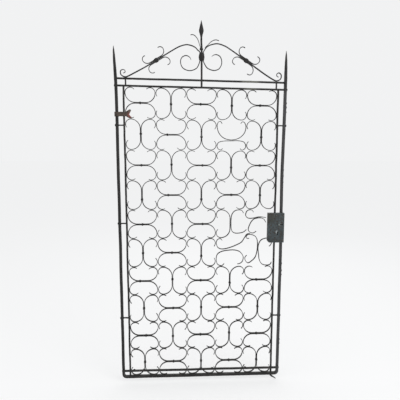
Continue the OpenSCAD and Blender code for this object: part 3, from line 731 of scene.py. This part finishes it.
def riveted_end(iron, side, z, seed):
    """Tenon end hammered over on the outer face of a stile."""
    edge = side * (OUTER_X + OUTER_BAR / 2) * MM
    profile = [(0.0068, -0.0006), (0.0070, 0.0006), (0.0066, 0.0018), (0.0056, 0.0029),
               (0.0040, 0.0036), (0.0020, 0.0039), (0.0003, 0.00395)]
    iron.turned((edge, 0, z * MM), (side, 0, 0), profile, seed=seed, dent=0.0005)


def rails(material):
    """Both pediment rails, the cross rail with its weld lumps, and the cross rail's rivets."""
    lower = Forging()
    wavy_rail(lower, OUTER_X - 6.5, LOW_RAIL_Z + RAIL_H / 2, RAIL_H, INNER_BAR, 0, 21, 0.0007)
    for side in (-1, 1):
        riveted_end(lower, side, LOW_RAIL_Z + RAIL_H / 2, 31 + side)
    lower.finish("pediment_rail_lower", material, "top_rail_lower")
    upper = Forging()
    wavy_rail(upper, OUTER_X - 6.5, HIGH_RAIL_Z + RAIL_H / 2, RAIL_H, INNER_BAR, 0, 27, 0.0007)
    upper.finish("pediment_rail_upper", material, "top_rail_upper")

    cross = Forging()
    wavy_rail(cross, OUTER_X + 7.2, CROSS_Z, CROSS_H, CROSS_D, -11.0, 35, 0.0008)
    for k, x in enumerate((-0.376, -0.322, -0.001, 0.062, 0.250)):
        cross.lump((x, -0.0095, 0.0545), (0.006, 0.0035, 0.0035), 40 + k)
    for k, x in enumerate((-0.400, 0.400)):
        cross.lump((x, -0.0068, 0.0415), (0.0055, 0.003, 0.003), 50 + k)
    cross.finish("cross_rail_bar", material, "cross_rail")

    rivets = Forging()
    head = [(0.0047, -0.0008), (0.0051, 0.0002), (0.0048, 0.0011), (0.0038, 0.0019),
            (0.0022, 0.0023), (0.0004, 0.0024)]
    for side in (-1, 1):
        x, z = side * OUTER_X * MM, CROSS_Z * MM
        rivets.turned((x, -0.0145, z), (0, -1, 0), head, seed=60 + side, dent=0.0004)
        rivets.turned((x, 0, z), (0, -1, 0),
                      [(0.0025, 0.0005), (0.0025, 0.008), (0.0025, 0.0138)], dent=0.0)
    rivets.finish("cross_rail_rivet_heads", material, "cross_rail_rivets")


def ties_and_posts(material, dark):
    """Short ties between the stiles, posts between the pediment rails, and the foot spur."""
    for side, word in SIDES:
        iron = Forging()
        for k, z in enumerate(TIE_Z):
            ends = sorted((side * (INNER_X + 4.0), side * (OUTER_X - 5.0)))
            sag = 0.5 * math.sin(5 * k + side)
            iron.bar(smooth_curve(in_gate([(ends[0], z + sag), (sum(ends) / 2, z - sag),
                                           (ends[1], z + sag)])),
                     lambda s: (8.0 - 0.9 * np.sin(math.pi * s)) * MM, 0.0078,
                     corner=0.0012, step=0.002, dent=0.0005, seed=70 + k + 7 * side)
            riveted_end(iron, side, z, 80 + k)
        iron.finish("tie_bars_forged_" + word, material, "tie_bars_" + word,
                    rack_from=STILE_RACK_Z)
        post = Forging()
        x = side * (INNER_X - 11.0)
        post.bar(in_gate([(x, LOW_RAIL_Z + RAIL_H - 0.6), (x + 0.6, PED_Z - 22),
                          (x, HIGH_RAIL_Z + 0.6)]),
                 0.0078, 0.0078, corner=0.0012, step=0.002, dent=0.0005, seed=90 + side)
        post.finish("rail_post_" + word, material, "post_" + word)
    spur = Forging()
    spur.bar(smooth_curve(in_gate([(398, 4), (400, -3), (406, -9.5), (417, -16.5),
                                   (426, -22.5), (431.5, -26.5)])),
             lambda s: (13.0 - 9.6 * s ** 0.8) * MM, lambda s: (7.8 - 2.6 * s) * MM,
             corner=0.0012, step=0.0015, ease=0.0014, dent=0.0005, seed=97)
    spur.finish("foot_spur_forged", dark, "foot_spur", slot="frame_iron")


# ---- scroll field
def c_path(half_back, big_r, end_r, hook_a, hook_b, t):
    """Middle line of a C-scroll on its back, in mm: its left hook, its back, its right."""
    def half(hook):
        out = [(x, t / 2) for x in np.linspace(0, half_back, 8)]
        for a in np.radians(np.linspace(-90, 0, 20)[1:]):
            out.append((half_back + (big_r - t / 2) * math.cos(a),
                        big_r + (big_r - t / 2) * math.sin(a)))
        middle = half_back + big_r - end_r
        for a in np.radians(np.linspace(0, 90 + hook, 22)[1:]):
            out.append((middle + (end_r - t / 2) * math.cos(a),
                        big_r + (end_r - t / 2) * math.sin(a)))
        return out
    right, left = half(hook_b), [(-x, z) for x, z in half(hook_a)]
    return np.array(left[::-1] + right[1:])


def placed(points, turn, x, z):
    """Points turned about Y by quarter turns or any angle, then moved."""
    a = math.radians(turn)
    return np.stack([points[:, 0] * math.cos(a) + points[:, 1] * math.sin(a) + x,
                     -points[:, 0] * math.sin(a) + points[:, 1] * math.cos(a) + z], axis=1)


def drawn_down(middle, tip, power=2.2):
    """Thickness that falls from the middle of a strip to both tips."""
    return lambda s: (tip + (middle - tip) * (1 - np.abs(2 * s - 1) ** power)) * MM


def strip_bar(iron, path, share, seed):
    """A field strip along a path, drawn down to both tips."""
    iron.bar(path, drawn_down(STRIP_T, 3.0), drawn_down(STRIP_D, 8.4, 6.0), corner=0.0009,
             dent=0.0003, seed=seed, share=share)


def field_scroll(iron, column, row, turn):
    """One scroll of a cell's pair, a little out of true as hand work is."""
    x, z = cell_middle(column, row)
    seed = 100 + column * 17 + row * 131 + int(turn)
    hooks = [CURL_HOOK + 11.0 * math.sin(seed * s) for s in (1.3, 2.9)]
    points = c_path(CURL_R, ARC_BIG, CURL_R, *hooks, STRIP_T)
    points[:, 1] += TOUCH
    points = placed(points, turn, x, z)
    path, share = spaced(in_gate(points), *STRIP_STEPS)
    path[:, 1] += 0.0006 * math.sin(seed * 2.4) + 0.0006 * noise3(path, 0.09, seed)
    path[:, 0] += 0.0002 * noise3(path, 0.06, seed + 1)
    path[:, 2] += 0.0002 * noise3(path, 0.06, seed + 2)
    strip_bar(iron, path, share, seed)


def scroll_rows(material):
    """Every unbent pair, one piece a row: back to back, lying and standing by turns."""
    for row in range(1, ROWS + 1):
        iron = Forging()
        for column in range(1, COLUMNS + 1):
            if (column, row) not in BENT:
                base = 0 if (column + row) % 2 == 0 else 90
                field_scroll(iron, column, row, base)
                field_scroll(iron, column, row, base + 180)
        iron.finish("forged_scrolls_row_%d" % row, material, "scroll_row_%d" % row)


# How far each collar has slid right or up its pair, as a share of the free length of the
# pair's straight backs: rows from the top, columns from the left.
SLIPS = [
    [0, -0.13, -0.2, -0.17, -0.38],
    [0.13, -0.85, -0.38, 0, -0.3],
    [0, 0.17, 0.25, -0.47, -0.2],
    [-0.98, -0.77, -1, 0.13, -0.13],
    [0, 0.1, 0.3, 0, 0],
    [0, -0.05, -0.85, 0, 0],
    [-0.8, 0.35, -0.13, -0.68, -0.4],
    [0.05, 0.13, 0.1, -0.13, 0.05],
    [0.38, -0.3, -0.17, 0.3, -0.13],
    [0, 0.1, 0, 0, -0.05],
]


def pair_collars(material):
    """The collar that holds each unbent pair, slid and tilted as the photograph shows."""
    iron = Forging()
    for row in range(1, ROWS + 1):
        for column in range(1, COLUMNS + 1):
            if (column, row) in BENT:
                continue
            seed = 300 + column * 13 + row * 7
            x, z = cell_middle(column, row)
            slip = SLIPS[row - 1][column - 1] * (CURL_R - COLLAR_LEN / 2)
            lies = (column + row) % 2 == 0
            centre = np.array((x + (slip if lies else 0), 0, z + (0 if lies else slip))) * MM
            along, across = (ALONG_X, ALONG_Z) if lies else (ALONG_Z, ALONG_X)
            length = (COLLAR_LEN + 0.6 * math.sin(seed * 3.1)) * MM
            iron.band(centre, along, across, (0.0085, 0.0101), 0.0022, length, seed,
                      tilt=0.05 * math.sin(seed * 2.3))
    iron.finish("wrapped_collars", material, "scroll_collars", slot="scroll_iron")


# Bent strips by CAD node: column, row, and points of the strip's middle line in mm from
# that cell's middle.
BENT_STRIPS = {
    "bent_scrolls_row_2": [
        (4, 2, [(-50, 60), (-58, 72), (-70, 68), (-76, 46), (-66, 12), (-40, -14), (0, -23),
                (40, -13), (68, 14), (76, 46), (68, 68), (56, 72), (48, 62)]),
        (4, 2, [(-46, -68), (-56, -76), (-70, -70), (-76, -54), (-66, -36), (-36, -29),
                (0, -28), (36, -27), (66, -34), (76, -54), (70, -70), (56, -76), (46, -68)])],
    "bent_scrolls_row_5_right": [
        (4, 5, [(70, 58), (62, 72), (46, 76), (22, 70), (6, 46), (3, 0), (6, -34), (21, -50),
                (46, -52), (72, -46), (88, -32)]),
        (5, 5, [(-33, 62), (-40, 73), (-54, 76), (-68, 70), (-76, 50), (-68, 34), (-52, 29),
                (-30, 31), (0, 37), (36, 33)]),
        (5, 5, [(-16, -42), (-32, -52), (-50, -48), (-60, -32), (-50, 0), (-34, 22),
                (-16, 29), (6, 31), (24, 24), (36, 6)])],
    "bent_scrolls_row_6_left": [
        (4, 6, [(-44, 66), (-54, 76), (-70, 70), (-76, 50), (-66, 26), (-42, 18), (-5, 25),
                (34, 40), (62, 56), (78, 80), (90, 99), (108, 104)]),
        (4, 6, [(-32, -64), (-46, -76), (-68, -68), (-76, -40), (-70, -12), (-46, 4),
                (-6, 11), (26, 11), (54, 1), (72, -24), (70, -50), (56, -64), (40, -68)])],
    "bent_scrolls_row_6_right": [
        (5, 6, [(-54, 76), (-66, 76), (-71, 84), (-62, 96), (-42, 97), (-20, 86), (-9, 62),
                (-8, 24), (-12, -8), (-22, -34), (-40, -52), (-58, -62), (-72, -50),
                (-76, -32), (-66, -18)]),
        (5, 6, [(56, 30), (66, 40), (70, 58), (56, 74), (36, 76), (12, 66), (0, 46),
                (-4, 20), (0, -16), (4, -44), (18, -68), (42, -76), (64, -72), (72, -58)])],
}


def bent_scrolls(material):
    """The strips bent by hand, and the one scroll of cell 4, 5 that still holds its shape."""
    for node, strips in BENT_STRIPS.items():
        iron = Forging()
        for k, (column, row, points) in enumerate(strips):
            x, z = cell_middle(column, row)
            curve = smooth_curve(np.array(points, float), 8) + np.array((x, z))
            path, share = spaced(in_gate(curve), *STRIP_STEPS)
            seed = 500 + 7 * k + len(points)
            path[:, 1] += 0.0012 * noise3(path, 0.08, seed)
            strip_bar(iron, path, share, seed)
        iron.finish("forged_" + node, material, node)
    iron = Forging()
    field_scroll(iron, 4, 5, 270)
    iron.finish("forged_bent_scroll_row_5_left", material, "bent_scroll_row_5_left")


# ---- pediment
def spear(material):
    """Centre shaft with its spear head, the ball on it and the ring over the ball."""
    iron = Forging()
    head = PED_Z + SPEAR_H - SPEAR_LEN
    path, share = spaced(in_gate([(0, LOW_RAIL_Z + 0.4), (0, head + 2)]), *BAR_STEPS)
    path[:, 0] -= 0.0018 * eased_step(path[:, 2], 1.79, 1.83)
    iron.bar(path, 0.0099, 0.0099, corner=0.0014, dent=0.0003, seed=602,
             share=share, arc=SOFT_ARC)
    leaf = [(4.3, -2), (4.7, 1), (5.1, 6), (6.0, 13), (7.6, 20), (9.6, 27), (11.4, 33),
            (12.35, 38), (12.4, 42), (11.7, 47), (10.4, 53), (8.8, 60), (7.0, 67),
            (5.2, 74), (3.4, 81), (1.9, 86.5), (0.9, 89.3), (0.3, 89.8)]
    iron.turned((-0.0018, 0, head * MM), (0, 0, 1), [(r * MM, h * MM) for r, h in leaf],
                seed=605, dent=0.0005, around=32, lobes=0.26)
    iron.finish("spear_shaft", material, "centre_shaft")

    ball = Forging()
    half = [(9.8, -20.8), (11.4, -20.3), (12.6, -18.5), (14.2, -15), (15.4, -10), (15.3, -8),
            (16.1, -4), (16.0, 1), (15.1, 5), (14.5, 7), (14.6, 10), (13.6, 14.5),
            (12.3, 18), (11.0, 20.2), (9.6, 20.8)]
    ball.turned((0, 0, BALL_Z * MM), (0, 0, 1), [(r * MM, h * MM) for r, h in half],
                seed=611, dent=0.0009, around=32)
    ball.finish("ball_collar_forged", material, "ball_collar")

    ring = Forging()
    middle = -(LEAF_T + 2 * TOUCH) / 2 * MM
    ring.band((middle, 0, RING_Z * MM), ALONG_Z, ALONG_X, (0.0130, 0.0102), 0.0022, 0.008,
              617)
    ring.finish("shaft_ring_wrapped", material, "shaft_ring")


def slope_points(side):
    """Middle line of a slope bar, X from the shaft and Z from the rail's top, in mm."""
    bound = SHAFT_BAR / 2 + TOUCH + SLOPE_T / 2
    foot = [(400, 22), (390.5, 27), (391, 37.5), (402.5, 41.5), (413, 32), (410.5, 14),
            (394, 4), (372, 9), (300, 50)]
    left = [(231, 93), (136, 150), (104, 165), (78, 171), (62, 169.5), (46, 165), (31, 157),
            (20, 145)]
    right = [(229, 96.3), (136, 157), (112, 169), (96, 174.5), (76, 177.5), (52, 173),
             (34, 166), (22, 156)]
    held = [(bound + 1, 137), (bound, 121), (bound, 105), (bound + 1, 89)]
    left_volute = [(26, 56), (62, 43), (96, 56), (108, 87), (99, 110), (78, 118),
                   (60, 109), (54, 96)]
    right_volute = [(24, 63), (40, 52), (64, 46.5), (88, 54), (102, 76), (102, 98),
                    (93, 116), (76, 124), (62, 122), (51, 114)]
    if side < 0:
        return foot + left + held + left_volute
    return foot + right + held + right_volute


def slope_bars(material):
    """Thick bars from a foot curl up to the shaft and down into a volute, one each side."""
    for side, word in SIDES:
        iron = Forging()
        shaped = [(side * x, z + PED_Z) for x, z in slope_points(side)]

        def thickness(s):
            body = SLOPE_T + (VOLUTE_T - SLOPE_T) * s
            drawn = np.clip(0.42 + s / 0.20, 0, 1) * np.clip(0.5 + (1 - s) / 0.06, 0, 1)
            return body * drawn * MM

        path, share = spaced(in_gate(smooth_curve(shaped, 8)), *STRIP_STEPS)
        path[:, 1] += 0.0005 * noise3(path, 0.10, 630 + side)
        iron.bar(path, thickness, lambda s: 7.9 * MM * np.clip(0.75 + (1 - s) / 0.2, 0, 1),
                 corner=0.0011, dent=0.0003, seed=631 + side, share=share, arc=SOFT_ARC)
        iron.finish("slope_bar_forged_" + word, material, "slope_bar_" + word)


# Where each cluster sits on its slope bar, in mm, and the bar's rise over a run of 164.
CLUSTERS = [(-1, "left", 231, 93, 100), (1, "right", 229, 96.3, 107)]


def slope_clusters(material):
    """Two small scrolls on each slope bar, one above and one below, held by one collar."""
    points = c_path(34, 28, 19, 14, 20, 4)
    points[:, 1] += SLOPE_T / 2 + 4 * TOUCH
    for side, word, x, z, rise in CLUSTERS:
        turn = math.degrees(math.atan2(rise, 164))
        for half, over, seed in (("upper", 0, 641), ("lower", 180, 653)):
            iron = Forging()
            shaped = placed(placed(points, over, 0, 0), turn, x, z + PED_Z)
            shaped[:, 0] *= side
            path, share = spaced(in_gate(shaped), 0.0025, STRIP_STEPS[1])
            path[:, 1] += 0.0008 * noise3(path, 0.07, seed + side)
            iron.bar(path, drawn_down(4.0, 3.5, 2.0), drawn_down(8.0, 6.4, 5.0),
                     corner=0.0009, dent=0.0003, seed=seed + side, share=share)
            node = "cluster_scroll_%s_%s" % (word, half)
            iron.finish("forged_" + node, material, node)
        collar = Forging()
        a = math.radians(turn) * side
        along = np.array((math.cos(a), 0, -math.sin(a)))
        across = np.array((math.sin(a), 0, math.cos(a)))
        centre = np.array((side * x, 0, z + PED_Z)) * MM
        collar.band(centre, along, across, (0.0164, 0.0082), 0.0024, 0.017, 661 + side)
        collar.band(centre + 0.0015 * along, along, across, (0.0192, 0.0118), 0.0014, 0.006,
                    665 + side)
        collar.finish("cluster_collar_wrapped_" + word, material, "cluster_collar_" + word)


def leaf_curls(material):
    """Thin curls: the left one springs from the shaft's ring, the right one off its slope."""
    z, x = RING_Z, LEAF_X
    left = [(-x - 0.1, z - 6), (-x - 0.1, z + 5), (-x - 1.4, z + 12), (-11, z + 22),
            (-14, z + 32), (-18, z + 43), (-24, z + 54), (-33, z + 64), (-45, z + 70),
            (-57, z + 69)]
    path = smooth_curve(np.array(slope_points(1), float), 6)
    last = 16 * 6  # the right slope bar's last point before it meets the shaft
    bar_t = SLOPE_T + (VOLUTE_T - SLOPE_T) * last / len(path)
    gap = bar_t / 2 + 4 * TOUCH + LEAF_T / 2
    right = []
    for i in (last + 1, last - 2, last - 5):
        along = path[i + 1] - path[i - 1]
        out = np.array((along[1], -along[0])) / np.linalg.norm(along)
        right.append(tuple(path[i] + out * gap + (0, PED_Z)))
    right += [(46, 185 + PED_Z), (61, 194 + PED_Z), (75, 196 + PED_Z), (88, 192 + PED_Z)]
    for word, points in (("left", left), ("right", right)):
        iron = Forging()
        iron.bar(smooth_curve(in_gate(points), 8), lambda s: (LEAF_T + s) * MM,
                 lambda s: (5.9 - 0.8 * s ** 4) * MM, corner=0.0007, step=0.0022,
                 dent=0.00025, seed=671 + len(points))
        iron.finish("leaf_curl_forged_" + word, material, "leaf_curl_" + word)


# ---- wall anchor
def remeshed(obj, voxel, smooth_steps):
    """Fuses an object's shells into one skin, softened as hammer work is."""
    fuse = obj.modifiers.new("fuse", "REMESH")
    fuse.mode = "VOXEL"
    fuse.voxel_size = voxel
    soften = obj.modifiers.new("soften", "SMOOTH")
    soften.iterations = smooth_steps
    soften.factor = 0.5
    view = bpy.context.evaluated_depsgraph_get()
    mesh = bpy.data.meshes.new_from_object(obj.evaluated_get(view))
    obj.modifiers.clear()
    obj.data = mesh
    mesh.shade_smooth()


def vectors_of(mesh, what):
    """The co or normal of every vertex, one to a row."""
    flat = np.empty(len(mesh.vertices) * 3)
    mesh.vertices.foreach_get(what, flat)
    return flat.reshape(-1, 3)


def wall_anchor(material):
    """Strap forged round the stile's journal, its far end split into a fishtail."""
    hinge = np.array((-OUTER_X, 0, ANCHOR_Z)) * MM
    eye = Forging()
    turn = np.radians(np.linspace(-90, -415, 80))
    path = hinge - STRAP_Y * MM * np.stack([np.cos(turn), np.sin(turn), 0 * turn], axis=1)
    eye.bar(path, 0.0048, 0.0236, corner=0.0011, side=ALONG_Z, step=0.0015, dent=0.00012,
            ease=0.0009, seed=701, arc=SOFT_ARC)
    eye.finish("anchor_eye", material, body="anchor")

    outline = [(0, -11.7), (46, -11.9), (58, -15), (71, -20.6), (79.4, -24.4), (78.6, -17.4),
               (71, -9), (64.4, -1.2), (69.5, 8), (75.4, 18.6), (70.8, 24.4), (64.4, 23.4),
               (56, 18.4), (46, 12.2), (36, 11.7), (0, 11.7)]
    thick = 4.6
    front = STRAP_Y - thick / 2
    bm = bmesh.new()
    base = [bm.verts.new((-OUTER_X * MM + x * MM, front * MM, (ANCHOR_Z + z) * MM))
            for x, z in outline]
    made = bmesh.ops.extrude_face_region(bm, geom=[bm.faces.new(base)])
    moved = [v for v in made["geom"] if isinstance(v, bmesh.types.BMVert)]
    bmesh.ops.translate(bm, verts=moved, vec=(0, thick * MM, 0))
    mesh = bpy.data.meshes.new("anchor_fishtail")
    settle(bm, mesh)
    tail = in_scene("anchor_fishtail", mesh)
    remeshed(tail, 0.0009, 4)
    points, normals = vectors_of(tail.data, "co"), vectors_of(tail.data, "normal")
    dent = 0.0006 * (noise3(points, 0.010, 711) - 0.6) + 0.00025 * noise3(points, 0.003, 713)
    dent = np.minimum(dent, 0.0)
    points = points + normals * dent[:, None]
    tail.data.vertices.foreach_set("co", points.reshape(-1))
    edge = np.clip(np.abs(points[:, 1] - STRAP_Y * MM) / (thick / 2 * MM), 0, 1) ** 6
    set_wear(tail.data, 0.5 * edge)
    tail.data.materials.append(material)
    declare(tail, "anchor", ("hinge_anchor",))


# ---- lock
def slotted_head(iron, centre, radius, height, turn, seed):
    """Domed screw head in two halves with the slot between them, on a thin base."""
    c = np.asarray(centre)
    iron.turned(c, (0, -1, 0), [(radius * 0.99, 0.0), (radius, height * 0.3),
                                (radius * 0.97, height * 0.45), (radius * 0.3, height * 0.46)],
                seed=seed, dent=0.0001)
    gap = radius * 0.17
    for side in (-1, 1):
        rings = []
        for scale, rise in ((0.99, 0.3), (0.96, 0.55), (0.86, 0.8), (0.66, 0.95), (0.3, 1.0)):
            limit = math.acos(min(gap / (radius * scale), 0.95))
            angles = np.linspace(-limit, limit, 15)
            ring = []
            for a in angles:
                x, z = radius * scale * math.cos(a) * side, radius * scale * math.sin(a)
                ring.append((x * math.cos(turn) - z * math.sin(turn), -rise * height,
                             x * math.sin(turn) + z * math.cos(turn)))
            rings.append(ring)
        iron.shell(c + np.array(rings), 0.6)


def lock_fittings(paint, bolt, knob, spring, fixing):
    """The lock's sheet and steel parts with eased edges, its thumb knob and its screws."""
    eased("lock_case_painted", "lock_case", 0.0009, paint)
    eased("lock_back_plate_painted", "lock_back_plate", 0.0005, paint)
    eased("bolt_guide_post", "bolt_guide", 0.0003, bolt)
    eased("slide_bolt_bar", "slide_bolt", 0.0008, bolt, "slide_bolt")
    eased("dead_bolt_bar", "dead_bolt", 0.0008, bolt, "dead_bolt")
    eased("spacer_sleeves", "lock_spacers", 0.0003, fixing)
    eased("bolt_leaf_springs", "bolt_springs", 0.00015, spring, segments=2)

    grip = Forging()
    low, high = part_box("slide_knob")
    x, z = (low[0] + high[0]) / 2, (low[2] + high[2]) / 2
    profile = [(2.5, 0.1), (2.5, -5.0), (3.5, -5.1), (3.5, -18.3), (3.7, -18.9), (5.2, -19.0),
               (5.75, -19.4), (5.95, -20.2), (5.85, -21.0), (5.6, -21.5), (5.85, -22.0),
               (5.8, -22.8), (5.2, -23.5), (4.0, -23.85), (2.0, -23.95), (0.3, -23.97)]
    inner = low[1] + 24.0 * MM
    grip.turned((x, inner, z), (0, 1, 0), [(r * MM, h * MM) for r, h in profile],
                seed=721, dent=0.00006, around=36)
    grip.finish("thumb_knob", knob, "slide_knob", body="slide_bolt")

    screws = Forging()
    low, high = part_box("lock_screws")
    face = low[1] + 3.0 * MM
    for k, (x, z) in enumerate([(0.400, 0.7975), (0.437, 0.7975), (0.400, 0.9335),
                                (0.437, 0.9335)]):
        screws.turned((x, face, z), (0, 1, 0), [(0.0025, -0.0003), (0.0025, 0.015),
                                                (0.0025, high[1] - face - 0.0004),
                                                (0.0021, high[1] - face)], dent=0.0)
        slotted_head(screws, (x, face, z), 0.0049, 0.0029, 0.7 + 1.3 * k, 731 + k)
    screws.finish("slotted_screws", fixing, "lock_screws")


# ---- everything
def build():
    """Camera, studio, materials and every piece."""
    make_camera()
    make_studio()
    frame_iron = forged_iron("frame_iron", (0.006, 0.006, 0.006), (0.015, 0.0145, 0.014),
                             0.5, stile_highlight=(0.040, 0.040, 0.042))
    scroll_iron = forged_iron("scroll_iron", (0.006, 0.006, 0.006), (0.016, 0.015, 0.014),
                              0.7)
    pediment_iron = forged_iron("pediment_iron", (0.006, 0.006, 0.006),
                                (0.015, 0.0145, 0.014), 0.5)
    dark_iron = forged_iron("dark_iron", (0.005, 0.005, 0.005), (0.012, 0.011, 0.010), 0.7)
    rusty = anchor_iron()
    paint = lock_paint()
    bolt = steel("bolt_steel", (0.36, 0.35, 0.33), (0.20, 0.19, 0.18), 0.8, 0.38)
    knob = steel("worn_knob", (0.20, 0.23, 0.22), (0.10, 0.12, 0.115), 0.4, 0.42)
    spring = steel("spring_steel", (0.42, 0.41, 0.40), (0.26, 0.26, 0.27), 0.4, 0.34)
    fixing = steel("fixing_steel", (0.16, 0.15, 0.14), (0.07, 0.065, 0.06), 0.9, 0.48)

    outer_frame(frame_iron)
    for side, word, seed in ((-1, "left", 11), (1, "right", 14)):
        wavy_upright(side * INNER_X, OUTER_BAR - 0.6, LOW_RAIL_Z + 0.5, INNER_BAR - 0.1, seed,
                     "inner_stile_forged_" + word, frame_iron, "inner_stile_" + word)
    rails(frame_iron)
    ties_and_posts(frame_iron, dark_iron)
    scroll_rows(scroll_iron)
    pair_collars(dark_iron)
    bent_scrolls(scroll_iron)
    spear(pediment_iron)
    slope_bars(pediment_iron)
    slope_clusters(pediment_iron)
    leaf_curls(pediment_iron)
    wall_anchor(rusty)
    lock_fittings(paint, bolt, knob, spring, fixing)


build()
bpy.context.view_layer.update()
